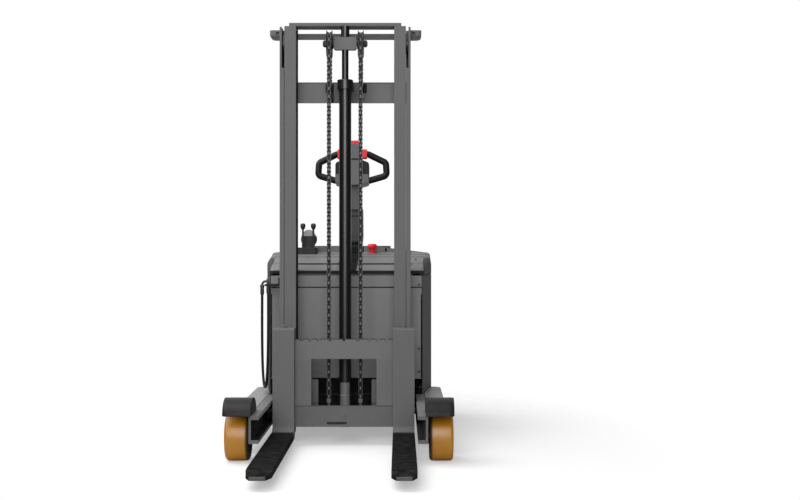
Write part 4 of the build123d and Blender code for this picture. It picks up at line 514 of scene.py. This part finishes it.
BONNET_PAINT = finish_material(
    "bonnet_paint", (0.216, 0.216, 0.218), 0.50, (0.17, 0.17, 0.175), grain=420, bump=0.03, specular=0.1,
    marks=[
        # a painted shade line along the crease at the front, then two cross seams further back
        ([("Z", 0.8385, 0.0034, 0.0006), ("side", 0.0, 0.31, 0.02), ("Y", 0.20, 0.06, 0.002)], (0.03, 0.03, 0.03), 0.7),
        ([("Y", 0.414, 0.0052, 0.0004)], (0.06, 0.06, 0.06), 0.7),
        ([("Y", 0.502, 0.0052, 0.0004)], (0.06, 0.06, 0.06), 0.7),
        # dark strip down the middle
        ([("X", 0.009, 0.0390, 0.0004)], (0.005, 0.005, 0.0052), 0.7),
        # flanks, and the seams beside them
        ([("side", 0.44, 0.0600, 0.0010), ("Z", 0.82, 0.046, 0.003)], (0.088, 0.088, 0.090), 0.7),
        ([("side", 0.3785, 0.0022, 0.0006), ("Z", 0.82, 0.034, 0.002)], (0.02, 0.02, 0.02), 0.7),
        # a screw on each side
        ([("side", 0.340, 0.0030, 0.002), ("Z", 0.8595, 0.0030, 0.002)], (0.03, 0.03, 0.03), 0.6),
        # shade under the front lip
        ([("Z", 0.790, 0.0175, 0.0006), ("side", 0.0, 0.378, 0.001)], (0.026, 0.026, 0.026), 0.8),
    ],
)
LEG_PAINT = finish_material(
    "leg_paint", (0.30, 0.30, 0.303), 0.46, (0.28, 0.28, 0.285), uneven=0.06, specular=0.2,
    marks=[
        # top of the roller channel, and its joint with the girder
        ([("side", 0.357, 0.0208, 0.0004), ("Z", 0.208, 0.004, 0.001)], (0.19, 0.19, 0.192), 0.5),
        ([("side", 0.3785, 0.0016, 0.0006), ("Z", 0.208, 0.002, 0.001)], (0.03, 0.03, 0.03), 0.6),
        # front end
        ([("Y", -0.773, 0.0010, 0.0004)], (0.135, 0.135, 0.137), 0.5),
        # painted shade inside the roller channel
        ([("side", 0.350, 0.0188, 0.0004), ("Z", 0.1495, 0.0428, 0.0004)], (0.012, 0.012, 0.012), 0.7),
    ],
)
CHARCOAL_PAINT = finish_material(
    "charcoal_paint", (0.045, 0.045, 0.046), 0.46, (0.07, 0.07, 0.071), grain=800, bump=0.03
)
GUARD_PAINT = finish_material(
    "guard_paint", (0.019, 0.019, 0.0193), 0.46, (0.026, 0.026, 0.026), grain=800, bump=0.04, specular=0.18
)
UNDERBODY_BLACK = finish_material(
    "underbody_black", (0.0035, 0.0035, 0.0036), 0.66, (0.012, 0.012, 0.012), grain=600, bump=0.08, specular=0.05
)
POD_PLASTIC = finish_material(
    "pod_plastic", (0.03, 0.03, 0.031), 0.34, (0.06, 0.06, 0.06), grain=1400, bump=0.04,
    # painted highlight on the top of the dome
    marks=[([("Z", 1.03, 0.046, 0.004)], (0.46, 0.46, 0.465), 0.30)],
)
KNOB_PLASTIC = finish_material(
    "knob_plastic", (0.022, 0.022, 0.0225), 0.28, (0.05, 0.05, 0.05), grain=1400, bump=0.03, specular=0.8
)
DASH_PLASTIC = finish_material(
    "dash_plastic", (0.210, 0.210, 0.211), 0.52, (0.10, 0.10, 0.10), grain=1100, bump=0.1,
    # end of the bonnet's dark strip
    marks=[([("X", 0.022, 0.045, 0.002), ("Y", 0.63, 0.055, 0.002)], (0.006, 0.006, 0.006), 0.7)],
)
FORK_PAINT = finish_material(
    "fork_paint", GREY, 0.50, (0.13, 0.13, 0.13), uneven=0.06, specular=0.03,
    scratches=((420.0, 9.0, 420.0), 0.10, (0.11, 0.11, 0.11)),
    marks=[
        # a darker band at the start of the blade, then the black blade
        ([("Z", 0.0, 0.0765, 0.003), ("Y", -0.845, 0.520, 0.003)], (0.022, 0.022, 0.022), 0.55),
        ([("Z", 0.0, 0.0765, 0.003), ("Y", -0.955, 0.600, 0.003)], (0.0042, 0.0042, 0.0044), 0.60),
        # lighter face at the tip
        ([("Y", -1.354, 0.0040, 0.002)], (0.085, 0.085, 0.085), 0.5),
    ],
)
GLOSS_BLACK = finish_material(
    "gloss_black", (0.004, 0.004, 0.0042), 0.33, None, bump=0.004, specular=1.0,
    # painted highlight: a grey stripe down the middle of the cylinder's foot
    marks=[([("Z", 0.20, 0.0815, 0.0006), ("X", 0.0, 0.0185, 0.006)], (0.15, 0.15, 0.152), 0.45)],
)
BLACK_PLASTIC = finish_material(
    "black_plastic", (0.014, 0.014, 0.0145), 0.42, (0.03, 0.03, 0.03), grain=1400, bump=0.08
)
HEAD_PLASTIC = finish_material(
    "head_plastic", (0.148, 0.147, 0.153), 0.46, (0.17, 0.17, 0.175), grain=1300, bump=0.06,
    marks=[
        # seats of the throttle on both sides
        ([("side", 0.068, 0.031, 0.0006), ("Z", 1.357, 0.036, 0.0008)], (0.014, 0.014, 0.0145), 0.5),
        # joint below the button
        ([("side", 0.0, 0.034, 0.0006), ("Z", 1.4025, 0.0045, 0.0006)], (0.014, 0.014, 0.0145), 0.6),
    ],
)
ARM_PLASTIC = finish_material(
    "arm_plastic", (0.095, 0.095, 0.098), 0.48, (0.12, 0.12, 0.123), grain=1300, bump=0.06,
    marks=[
        # lower cover
        ([("Z", 1.037, 0.086, 0.0006)], (0.049, 0.049, 0.051), 0.5),
        # rim and groove of the lower cover
        ([("Z", 1.1205, 0.0075, 0.0006)], (0.016, 0.016, 0.0165), 0.6),
        ([("Z", 1.0915, 0.004, 0.0006)], (0.016, 0.016, 0.0165), 0.6),
    ],
)
RED_PLASTIC = finish_material("red_plastic", (0.88, 0.016, 0.022), 0.32, (0.9, 0.04, 0.04), bump=0.01, specular=0.45)
AMBER_TREAD = finish_material(
    "amber_tread", (0.49, 0.200, 0.001), 0.40, (0.54, 0.25, 0.02), uneven=0.08, bump=0.012, specular=1.0,
    # painted shade on the inner edge of the load wheels
    marks=[([("side", 0.380, 0.013, 0.010)], (0.06, 0.026, 0.001), 0.5)],
    scratches=((30.0, 260.0, 260.0), 0.10, (0.30, 0.15, 0.03)), dust=(0.12, 0.03),
)
WHEEL_IRON = finish_material("wheel_iron", (0.06, 0.06, 0.062), 0.5, (0.16, 0.16, 0.16), grain=420, bump=0.14)
BRIGHT_STEEL = finish_material("bright_steel", (0.42, 0.42, 0.43), 0.20, metallic=1.0, bump=0.004, dust=None)
# dark chain steel with painted highlights, lighter where the chain's mesh says so
CHAIN_STEEL = finish_material(
    "chain_steel", (0.008, 0.008, 0.0078), 0.42, None, 0.0006, uneven=0.25, slow=60.0, bump=0.01, specular=0.25,
    dust=None, painted_highlight=(0.165, 0.164, 0.161),
)
WHEEL_STEEL = finish_material(
    "wheel_steel", (0.015, 0.015, 0.0147), 0.42, (0.05, 0.05, 0.05), 0.0008, uneven=0.2, slow=40.0, bump=0.01, dust=None
)
DARK_STEEL = finish_material("dark_steel", (0.07, 0.07, 0.07), 0.38, (0.2, 0.2, 0.2), metallic=0.6, bump=0.01)
HOSE_RUBBER = finish_material("hose_rubber", (0.010, 0.010, 0.010), 0.55, grain=1600, bump=0.12, dust=None)
MAT_RUBBER = finish_material("mat_rubber", (0.014, 0.014, 0.014), 0.72, (0.03, 0.03, 0.03), grain=500, bump=0.2)
CASE_PLASTIC = finish_material("battery_case", (0.05, 0.05, 0.055), 0.5, (0.08, 0.08, 0.08), grain=900, bump=0.06)
BARE_ALUMINIUM = finish_material("bare_aluminium", (0.5, 0.5, 0.51), 0.34, metallic=1.0, bump=0.006)

FINISHES = (
    (MAST_PAINT, "inner_mast"),
    (OUTER_MAST_PAINT, "outer_mast"),
    (CARRIAGE_PAINT, "fork_carriage"),
    (CROSSHEAD_PAINT, "crosshead"),
    (COVER_PAINT, "front_panel rear_panel"),
    (SIDE_PAINT, "left_side_panel right_side_panel"),
    (BONNET_PAINT, "bonnet"),
    (LEG_PAINT, "left_leg right_leg"),
    (GUARD_PAINT, "left_fender right_fender"),
    (UNDERBODY_BLACK, "chassis_frame reach_carriage"),
    (CHARCOAL_PAINT, "platform hydraulic_unit drive_motor left_caster_fork right_caster_fork"),
    (DASH_PLASTIC, "console"),
    (FORK_PAINT, "left_fork right_fork"),
    (GLOSS_BLACK, "lift_cylinder reach_barrel lift_rod"),
    (POD_PLASTIC, "lever_housing"),
    (KNOB_PLASTIC, "reach_lever auxiliary_lever"),
    (BLACK_PLASTIC, "tiller_base tiller_handles lift_switch"),
    (HEAD_PLASTIC, "tiller_head"),
    (ARM_PLASTIC, "tiller_arm"),
    (RED_PLASTIC, "estop_button throttle_rocker belly_button"),
    (AMBER_TREAD, "left_load_tyre right_load_tyre drive_tyre left_caster_wheel right_caster_wheel"),
    (WHEEL_IRON, "left_load_hub right_load_hub drive_gearbox drive_hub"),
    (DARK_STEEL, "load_axles panel_screws mast_rollers inner_rollers carriage_rollers hose_elbows"),
    (WHEEL_STEEL, "left_chain_wheel right_chain_wheel lift_chains"),
    (BRIGHT_STEEL, "reach_rod"),
    (HOSE_RUBBER, "mast_hoses"),
    (MAT_RUBBER, "platform_mat"),
    (CASE_PLASTIC, "battery_pack"),
    (BARE_ALUMINIUM, "motor_controller"),
)
for finish, names in FINISHES:
    for name in names.split():
        nodes[name].data.materials.clear()
        nodes[name].data.materials.append(finish)


# Lift chains

def chain_joints(x):
    """Pin centres of one chain: up the front strand, over the wheel by equal angles, down the rear strand."""
    wheel_low, wheel_high = (np.array(c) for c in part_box("right_chain_wheel"))
    y, z = ((wheel_low + wheel_high) / 2)[1:]
    climb = z - CHAIN_PITCH * np.arange(FRONT_LINKS, 0, -1)
    angle = np.linspace(math.pi, 0, CHAIN_TEETH // 2 + 1)
    fall = z - CHAIN_PITCH * np.arange(1, REAR_LINKS + 1)
    ys = np.concatenate([
        np.full(FRONT_LINKS, y - CHAIN_PITCH_RADIUS),
        y + CHAIN_PITCH_RADIUS * np.cos(angle),
        np.full(REAR_LINKS, y + CHAIN_PITCH_RADIUS),
    ])
    zs = np.concatenate([climb, z + CHAIN_PITCH_RADIUS * np.sin(angle), fall])
    return np.stack([np.full(len(ys), x), ys, zs], -1)


def link_outline(half, reach, sides=20):
    """Outline of a link's plate or filler: half a circle at each end, joined by two sides that a waist draws in. The
    half height there is the circle's radius times 1 - waist * cos^2 of a quarter turn from the middle to the end. The
    circles' centres are the pins, or nearer by the factor reach."""
    angle = np.arange(sides) * 2 * math.pi / sides
    along = CHAIN_PITCH / 2 * reach * np.sign(np.cos(angle)) + half * np.cos(angle)
    across = half * np.sin(angle)
    waist = 1 - CHAIN_WAIST * np.cos(np.clip(along / (CHAIN_PITCH / 2), -1, 1) * math.pi / 2) ** 2
    return np.stack([along, across * waist], -1)


def chain_piece(name, joints, first, body, sides=20):
    """A run of chain through its pin centres. A link's outline is moved and turned to the run between its pins and
    given a thickness along X. Even links are two inner plates with a filler between them; odd links are two plates
    outside those with a spacer between them. A pin sits on every joint. The faces carry a painted highlight value:
    high on the outer plates and on the flat sides of the fillers, less on the pins, and at or near 0 elsewhere."""
    middle = (joints[1:] + joints[:-1]) / 2
    along = joints[1:] - joints[:-1]
    along /= np.linalg.norm(along, axis=1)[:, None]
    across = np.cross(along, (1.0, 0.0, 0.0))
    odd = (np.arange(len(middle)) + first) % 2 == 1
    block = CHAIN_INNER_HALF + CHAIN_PLATE
    near = block + CHAIN_PLATE_PLAY
    far = near + CHAIN_PLATE
    dull = np.zeros(sides)
    flat_sides = np.where(np.isin(np.arange(sides), (sides // 4, 3 * sides // 4)), HIGHLIGHT_FLAT, HIGHLIGHT_END)
    slabs = (
        (~odd, CHAIN_INNER_PLATE_HALF, 1.0, -block, -CHAIN_FILLER_WIDE, dull),
        (~odd, CHAIN_INNER_PLATE_HALF, 1.0, CHAIN_FILLER_WIDE, block, dull),
        (~odd, CHAIN_FILLER_HALF, CHAIN_FILLER_REACH, -CHAIN_FILLER_WIDE, CHAIN_FILLER_WIDE, flat_sides),
        (odd, CHAIN_PLATE_HALF, 1.0, -far, -near, dull + HIGHLIGHT_PLATE),
        (odd, CHAIN_PLATE_HALF, 1.0, near, far, dull + HIGHLIGHT_PLATE),
        (odd, CHAIN_SPACER_HALF, 1.0, -CHAIN_INNER_HALF, CHAIN_INNER_HALF, dull),
    )
    points, faces, painted_highlight, count = [], [], [], 0
    for chosen, half, reach, low, high, shine in slabs:
        outline = link_outline(half, reach, sides)
        lengthwise = outline[None, :, :1] * along[chosen, None]
        upright = outline[None, :, 1:] * across[chosen, None]
        flat = middle[chosen, None] + lengthwise + upright
        pair = np.stack([flat + (low, 0, 0), flat + (high, 0, 0)], 1)
        start = count + np.arange(len(flat))[:, None, None] * 2 * sides
        faces += [
            (grid_faces(2, sides)[None] + start).reshape(-1, 4),
            (end_caps(2, sides)[None] + start).reshape(-1, sides),
        ]
        painted_highlight += [np.tile(shine, len(flat)), np.full(2 * len(flat), shine.min())]
        points.append(pair.reshape(-1, 3))
        count += len(points[-1])
    end = far + CHAIN_PIN_PROUD
    drum = lathe([(-end, CHAIN_PIN), (end, CHAIN_PIN)], (1, 0, 0), (0, 0, 0), CHAIN_PIN_SIDES)
    start = count + np.arange(len(joints))[:, None, None] * 2 * CHAIN_PIN_SIDES
    points.append((joints[:, None, None] + drum[None]).reshape(-1, 3))
    faces += [
        (grid_faces(2, CHAIN_PIN_SIDES)[None] + start).reshape(-1, 4),
        (end_caps(2, CHAIN_PIN_SIDES)[None] + start).reshape(-1, CHAIN_PIN_SIDES),
    ]
    painted_highlight += [np.full(len(f), HIGHLIGHT_PIN) for f in faces[-2:]]
    piece = add_piece(name, np.concatenate(points), faces, CHAIN_STEEL, body, smooth=False)
    highlight_values = piece.data.attributes.new("painted_highlight", "FLOAT", "FACE")
    highlight_values.data.foreach_set("value", np.concatenate(painted_highlight))
    return piece


for side, wheel in (("left", "left_chain_wheel"), ("right", "right_chain_wheel")):
    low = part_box(wheel)[0]
    joints = chain_joints(math.copysign(CHAIN_X, low[0]))
    top = FRONT_LINKS + CHAIN_TEETH // 2
    front = chain_piece(f"{side}_chain_front", joints[: FRONT_LINKS + 1], 0, None)
    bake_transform(front)
    wrap = chain_piece(f"{side}_chain_wrap", joints[FRONT_LINKS : top + 1], FRONT_LINKS, "mast_stage")
    rear = chain_piece(f"{side}_chain_rear", joints[top:], top, None)
    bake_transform(rear)
    for piece in (front, wrap, rear):
        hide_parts("lift_chains")


# Hoses

def hose_line(points):
    """Points along the smooth spline whose control points are the route's."""
    curve = bpy.data.curves.new("hose_line", "CURVE")
    curve.dimensions = "3D"
    curve.resolution_u = HOSE_STEPS
    spline = curve.splines.new("NURBS")
    spline.points.add(len(points) - 1)
    for control, point in zip(spline.points, points):
        control.co = (*point, 1.0)
    spline.order_u = HOSE_ORDER
    spline.use_endpoint_u = True
    holder = bpy.data.objects.new("hose_line", curve)
    bpy.context.scene.collection.objects.link(holder)
    bpy.context.view_layer.update()
    mesh = bpy.data.meshes.new_from_object(holder.evaluated_get(bpy.context.evaluated_depsgraph_get()))
    line = np.empty(len(mesh.vertices) * 3)
    mesh.vertices.foreach_get("co", line)
    bpy.data.objects.remove(holder)
    bpy.data.curves.remove(curve)
    bpy.data.meshes.remove(mesh)
    return line.reshape(-1, 3)


# Ferrule: distance down the hose and radius, with its corners rounded
FERRULE_CORNER = 0.0012
FERRULE_SIDES = 24
FERRULE = rounded(
    [(0.0, 0.0030), (0.0, 0.0088), (0.006, 0.0088), (0.007, 0.0096), (0.030, 0.0096), (0.036, 0.0078), (0.036, 0.0050)],
    FERRULE_CORNER,
)
for number, (shift_x, shift_y) in enumerate(HOSE_SHIFTS):
    route = np.array(HOSE_ROUTE) + (shift_x, shift_y - HOSE_ORIGIN, 0.0)
    line = hose_line(route)
    tube = tube_points(line, HOSE_RADIUS)
    rows, sides = tube.shape[:2]
    hose = add_piece(f"mast_hose_{number}", tube, [grid_faces(rows, sides), end_caps(rows, sides)], HOSE_RUBBER, None)
    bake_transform(hose)
    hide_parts("mast_hoses")
    down = (0, 0, -1)
    foot = turned_piece(f"hose_ferrule_{number}", FERRULE, down, route[0], DARK_STEEL, "truck_body", FERRULE_SIDES)
    head = turned_piece(f"hose_collar_{number}", FERRULE, down, route[-1], DARK_STEEL, "mast", FERRULE_SIDES)


# Guide flanges of the chain wheels: distance from the wheel's middle and radius

FLANGE_RING = (
    (0.0108, 0.020), (0.0108, 0.0625), (0.0115, 0.0635),
    (0.0131, 0.0635), (0.0138, 0.0625), (0.0138, 0.020),
)
for side in ("left", "right"):
    low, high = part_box(f"{side}_chain_wheel")
    hub = (math.copysign(CHAIN_X, low[0]), (low[1] + high[1]) / 2, (low[2] + high[2]) / 2)
    for number, turn in enumerate((1, -1)):
        ring = [(turn * along, radius) for along, radius in FLANGE_RING][::turn]
        flange = ring_piece(f"{side}_wheel_flange_{number}", ring, (1, 0, 0), hub, WHEEL_STEEL, f"{side}_sprocket")


# Arched guards over the load wheels

GUARD_CENTRE = -0.678
GUARD_HALF = 0.115
GUARD_FOOT = 0.2082
GUARD_RISE = 0.0668
GUARD_SHEET = 0.004
GUARD_CHEEK = 0.005
GUARD_CORNER = 0.024
GUARD_CORNER_PLACES = 12
# The plain part's first and last place, from the inner end and before the corner
GUARD_PLAIN = (0.012, 0.004)
GUARD_PLAIN_PLACES = 8
GUARD_SHARP = math.radians(35)


def wheel_guard(side, rows=49):
    """Guard as a closed sheet. At each place x across the truck its section is a loop: half an ellipse outside,
    y = c + a cos t and z = foot + rise sin t, and the same less the sheet's thickness inside. The half length a is
    drawn in round the outer corner by a quarter circle. At the inner end the inside is a straight foot, which closes
    the guard with a cheek."""
    low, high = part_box(f"{side}_fender")
    inner, outer = sorted((abs(low[0]), abs(high[0])))
    start = outer - GUARD_CORNER
    # places across: the cheek's two faces, the plain part, the rounded corner
    x = np.concatenate([
        [inner, inner + GUARD_CHEEK, inner + GUARD_CHEEK],
        np.linspace(inner + GUARD_PLAIN[0], start - GUARD_PLAIN[1], GUARD_PLAIN_PLACES),
        start + GUARD_CORNER * np.sin(np.linspace(0, math.pi / 2, GUARD_CORNER_PLACES)),
    ])
    drawn = GUARD_CORNER - np.sqrt(np.maximum(GUARD_CORNER ** 2 - np.maximum(x - start, 0.0) ** 2, 0.0))
    angle = np.linspace(math.pi, 0.0, rows)
    half = (GUARD_HALF - drawn)[:, None]
    rise = np.full_like(half, GUARD_RISE)
    turned = angle[::-1]
    shell = [half * np.cos(angle), rise * np.sin(angle)]
    lining = [(half - GUARD_SHEET) * np.cos(turned), (rise - GUARD_SHEET) * np.sin(turned)]
    lining[1][:2] = 0.0
    y, z = (np.concatenate(pair, 1) for pair in zip(shell, lining))
    sign = math.copysign(1.0, low[0])
    grid = np.stack([np.broadcast_to(sign * x[:, None], y.shape), y + GUARD_CENTRE, z + GUARD_FOOT], -1)
    columns = 2 * rows
    step = np.arange(rows - 1)
    strip = np.stack([step, step + 1, columns - 2 - step, columns - 1 - step], -1)
    faces = [grid_faces(len(x), columns), strip[:, ::-1], strip + (len(x) - 1) * columns]
    if sign > 0:
        faces = [f[:, ::-1] for f in faces]
    piece = add_piece(f"{side}_wheel_guard", grid, faces, GUARD_PAINT, "truck_body")
    piece.data.set_sharp_from_angle(angle=GUARD_SHARP)
    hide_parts(f"{side}_fender")


wheel_guard("left")
wheel_guard("right")


# Round back of the lever pod, behind the two levers: distance back and radius, with its corners rounded

POD_PLACE = (-0.2225, 0.591, 0.9645)
POD_CORNER = 0.006
POD_BACK = rounded(
    [(-0.0088, 0.0), (-0.0088, 0.036), (-0.004, 0.043), (0.007, 0.043), (0.0088, 0.038), (0.0088, 0.0)], POD_CORNER
)
pod_back = turned_piece("lever_pod_back", POD_BACK, (0, 1, 0), POD_PLACE, POD_PLASTIC, "truck_body")


# Rubber boot round the tiller's pivot

PIVOT_PLACE = (0.0, 0.732, 0.905)
TILLER_LEAN = math.radians(10.0)
BOOT_WALL = 0.002
BOOT_FOOT = -0.046
BOOT_HEIGHT = 0.0915
BOOT_COLUMN = 0.0405
BOOT_WIDENS = 0.0110
BOOT_FLATTENS = 0.0015
BOOT_FOLDS = 5
BOOT_FOLD_DEPTH = 0.0075
# Where it opens and where it is folded, as parts of its height, and where it leans, in height: start and length
BOOT_OPENS = (0.03, 0.14)
BOOT_FOLDED = (0.12, 0.86)
BOOT_LEANS = (-0.030, 0.070)


def boot_wall(inset, rows=61, sides=72):
    """One wall of the folded boot between the steering column and the tiller's cover. A ring at height h from the
    pivot is a rounded oblong: x = a * sign(cos t) * |cos t|^(2/n) and y = b * sign(sin t) * |sin t|^(2/n). Its half
    sizes swell and shrink with the folds, it opens from the round column at its foot, and it leans more and more, to
    the tiller's lean at its top."""
    part = np.linspace(0.0, 1.0, rows)[:, None]
    height = BOOT_FOOT + BOOT_HEIGHT * part
    grown = ease(part, *BOOT_OPENS)
    folded = np.clip((part - BOOT_FOLDED[0]) / BOOT_FOLDED[1], 0.0, 1.0)
    swell = BOOT_FOLD_DEPTH * np.sin(math.pi * BOOT_FOLDS * folded) ** 2 * grown
    half_x = BOOT_COLUMN + BOOT_WIDENS * grown + swell - inset
    half_y = BOOT_COLUMN - BOOT_FLATTENS * grown + swell - inset
    power = 2 / (2 + 2 * grown)
    angle = np.arange(sides)[None] * 2 * math.pi / sides
    x = half_x * np.sign(np.cos(angle)) * np.abs(np.cos(angle)) ** power
    y = half_y * np.sign(np.sin(angle)) * np.abs(np.sin(angle)) ** power
    turn = TILLER_LEAN * ease(height, *BOOT_LEANS)
    back = y * np.cos(turn) + height * np.sin(turn)
    up = height * np.cos(turn) - y * np.sin(turn)
    return np.stack([x, back, up], -1) + PIVOT_PLACE


def tiller_boot():
    """Boot with a wall: up the outside, over the top rim and down the inside, closed at the foot."""
    rings = np.concatenate([boot_wall(0.0), boot_wall(BOOT_WALL)[::-1]])
    rings = np.concatenate([rings, rings[:1]])
    rows, sides = rings.shape[:2]
    faces = grid_faces(rows, sides) % ((rows - 1) * sides)
    piece = add_piece("tiller_boot", rings[:-1], [faces], HOSE_RUBBER, None)
    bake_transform(piece)


tiller_boot()


# Ribbed mat on the step

MAT_FRONT_TURN = 0.010
MAT_REAR_TURN = 0.046
MAT_RIB_PITCH = 0.012
MAT_GROOVE = 0.0026
MAT_WAVE_POWER = 0.6
MAT_PLAIN_RIM = 0.012
MAT_GROOVE_END = 0.004
MAT_SHOULDER = 0.0018
MAT_SHOULDER_WIDE = 0.003
# Places along the mat, as parts of its length: close together at each end, even between
MAT_END_PLACES = (0.0, 0.0, 0.004, 0.012, 0.030, 0.045)
MAT_EVEN_PLACES = (0.94, 0.06)


def ribbed_mat(columns=411, rows=41):
    """Mat as a height over its outline. Each column keeps its place across the step; along it, points run from the
    rear edge to the front edge, whose corners are quarter circles. The height is the mat's thickness less a groove
    that follows the rounded wave 1 - (0.5 + 0.5 cos)^power across the step and fades out towards the edges, and less
    a shoulder that falls off at the rim."""
    low, high = (np.array(c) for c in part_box("platform_mat"))
    half = (high[0] - low[0]) / 2
    x = np.linspace(-half, half, columns)[:, None]
    front, rear = (
        turn - np.sqrt(np.maximum(turn ** 2 - np.maximum(np.abs(x) - half + turn, 0.0) ** 2, 0.0))
        for turn in (MAT_FRONT_TURN, MAT_REAR_TURN)
    )
    ends = np.array(MAT_END_PLACES)
    along = np.concatenate([1 - ends, np.linspace(*MAT_EVEN_PLACES, rows), ends[::-1]])[None]
    y = low[1] + front + (high[1] - low[1] - front - rear) * along
    rim = np.minimum(np.minimum(half - np.abs(x), y - low[1] - front), high[1] - rear - y)
    wave = (0.5 + 0.5 * np.cos(2 * math.pi * x / MAT_RIB_PITCH)) ** MAT_WAVE_POWER
    groove = MAT_GROOVE * (1 - wave) * np.clip((rim - MAT_PLAIN_RIM) / MAT_GROOVE_END, 0.0, 1.0)
    shoulder = MAT_SHOULDER * (1 - np.clip(rim / MAT_SHOULDER_WIDE, 0.0, 1.0)) ** 2
    z = high[2] - groove - shoulder
    z[:, [0, -1]] = low[2]
    grid = np.stack(np.broadcast_arrays(x, y, z), -1)
    faces = [grid_faces(*grid.shape[:2]), end_caps(*grid.shape[:2])]
    piece = add_piece("step_mat", grid, faces, MAT_RUBBER, "step")
    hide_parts("platform_mat")


ribbed_mat()


# Floor, light and camera

WHITE = (1.0, 1.0, 1.0, 1.0)
FLOOR_HALF = 30.0
# The floor's paleness for the light it throws back, for the camera and in mirrors, and its own white's share
FLOOR_LIT = 0.78
FLOOR_SEEN = 1.05
FLOOR_MIRRORED = 0.25
FLOOR_OWN_SHARE = 0.36
# The floor clears away between two distances from the truck's middle, sooner across the truck than along it
FLOOR_STRETCH = (1.5, 1.0, 1.0)
FLOOR_FADE = (1.2, 2.3)
# The studio's even light, the room's weaker one in mirrors, and how far towards +Y its white backdrop starts and ends
AMBIENT = 0.30
ROOM = 0.05
BACKDROP = (0.60, 0.98)
# Lights: name, place, target, width, height, watts
LIGHTS = (
    ("front_light", (-0.3, -7.5, 3.3), (0.0, -0.2, 1.0), 4.4, 5.2, 276.0),
    ("top_light", (-2.1, -0.5, 4.8), (0.0, 0.0, 0.0), 5.2, 5.2, 240.0),
)


def pale_floor():
    """Wide floor whose material is partly its own white, keeps the truck's shadow, and clears away to the background
    with distance from the truck."""
    edges = np.array([-FLOOR_HALF, FLOOR_HALF])
    grid = np.stack(np.meshgrid(edges, edges, indexing="ij"), -1)
    points = np.concatenate([grid, np.zeros((2, 2, 1))], -1)
    material = bpy.data.materials.new("pale_floor")
    material.use_nodes = True
    tree = material.node_tree
    tree.nodes.remove(tree.nodes["Principled BSDF"])
    out = tree.nodes["Material Output"]
    path = node(tree, "ShaderNodeLightPath")
    bright = value_mix(tree, path.outputs["Is Camera Ray"], FLOOR_LIT, FLOOR_SEEN)
    pale = value_mix(tree, path.outputs["Is Glossy Ray"], bright, FLOOR_MIRRORED)
    lit = node(tree, "ShaderNodeBsdfDiffuse", [("Color", pale)])
    glow = node(tree, "ShaderNodeEmission", [("Color", WHITE), ("Strength", 1.0)])
    share = node(
        tree, "ShaderNodeMath", [(0, path.outputs["Is Camera Ray"]), (1, FLOOR_OWN_SHARE)], operation="MULTIPLY"
    )
    own = node(tree, "ShaderNodeMixShader", [(0, share.outputs[0]), (1, lit.outputs[0]), (2, glow.outputs[0])])
    place = node(tree, "ShaderNodeTexCoord")
    spread = node(
        tree, "ShaderNodeVectorMath", [(0, place.outputs["Object"]), (1, FLOOR_STRETCH)], operation="MULTIPLY"
    )
    far = node(tree, "ShaderNodeVectorMath", [(0, spread.outputs[0])], operation="LENGTH")
    fade = node(
        tree, "ShaderNodeMapRange",
        [("Value", far.outputs["Value"]), ("From Min", FLOOR_FADE[0]), ("From Max", FLOOR_FADE[1])],
    )
    clear = node(tree, "ShaderNodeBsdfTransparent")
    whole = node(tree, "ShaderNodeMixShader", [(0, fade.outputs[0]), (1, own.outputs[0]), (2, clear.outputs[0])])
    tree.links.new(whole.outputs[0], out.inputs["Surface"])
    floor = add_piece("floor", points, [np.array([[0, 2, 3, 1]])], material, None, smooth=False)


def white_world():
    """White studio: the camera sees white, and so do reflections towards the backdrop behind the truck. Reflections
    towards the rest of the room see its weaker light, and matt surfaces an even one."""
    world = bpy.data.worlds.new("studio")
    world.use_nodes = True
    bpy.context.scene.world = world
    tree = world.node_tree
    path = node(tree, "ShaderNodeLightPath")
    seen = node(
        tree, "ShaderNodeMath", [(0, path.outputs["Is Camera Ray"]), (1, path.outputs["Is Transmission Ray"])],
        operation="MAXIMUM",
    )
    place = node(tree, "ShaderNodeTexCoord")
    parts = node(tree, "ShaderNodeSeparateXYZ", [(0, place.outputs["Generated"])])
    backdrop = node(
        tree, "ShaderNodeMapRange",
        [
            ("Value", parts.outputs["Y"]), ("From Min", BACKDROP[0]), ("From Max", BACKDROP[1]),
            ("To Min", ROOM), ("To Max", 1.0),
        ],
        interpolation_type="SMOOTHSTEP",
    )
    mirrored = value_mix(tree, path.outputs["Is Glossy Ray"], AMBIENT, backdrop.outputs[0])
    strength = value_mix(tree, seen.outputs[0], mirrored, 1.0)
    back = tree.nodes["Background"]
    back.inputs["Color"].default_value = WHITE
    tree.links.new(strength, back.inputs["Strength"])


def soft_light(name, place, target, width, height, watts):
    """Rectangular studio light that points from its place to a target."""
    lamp = bpy.data.lights.new(name, "AREA")
    lamp.shape = "RECTANGLE"
    lamp.size = width
    lamp.size_y = height
    lamp.energy = watts
    holder = bpy.data.objects.new(name, lamp)
    bpy.context.scene.collection.objects.link(holder)
    aim = np.array(target, float) - np.array(place, float)
    pitch = math.atan2(math.hypot(aim[0], aim[1]), -aim[2])
    holder.location = place
    holder.rotation_euler = (pitch, 0.0, math.atan2(-aim[0], aim[1]))


def photo_camera():
    """Level camera looking along +Y at the photograph's place and focal length."""
    camera = bpy.data.cameras.new("camera")
    camera.sensor_width = SENSOR
    camera.lens = FOCAL_PIXELS * SENSOR / PHOTO_WIDTH
    camera.clip_end = CAMERA_REACH
    holder = bpy.data.objects.new("camera", camera)
    holder.location = CAMERA_PLACE
    holder.rotation_euler = (math.pi / 2, 0.0, 0.0)
    bpy.context.scene.collection.objects.link(holder)
    bpy.context.scene.camera = holder


pale_floor()
white_world()
for light in LIGHTS:
    soft_light(*light)
photo_camera()
bpy.context.scene.view_settings.view_transform = "Standard"
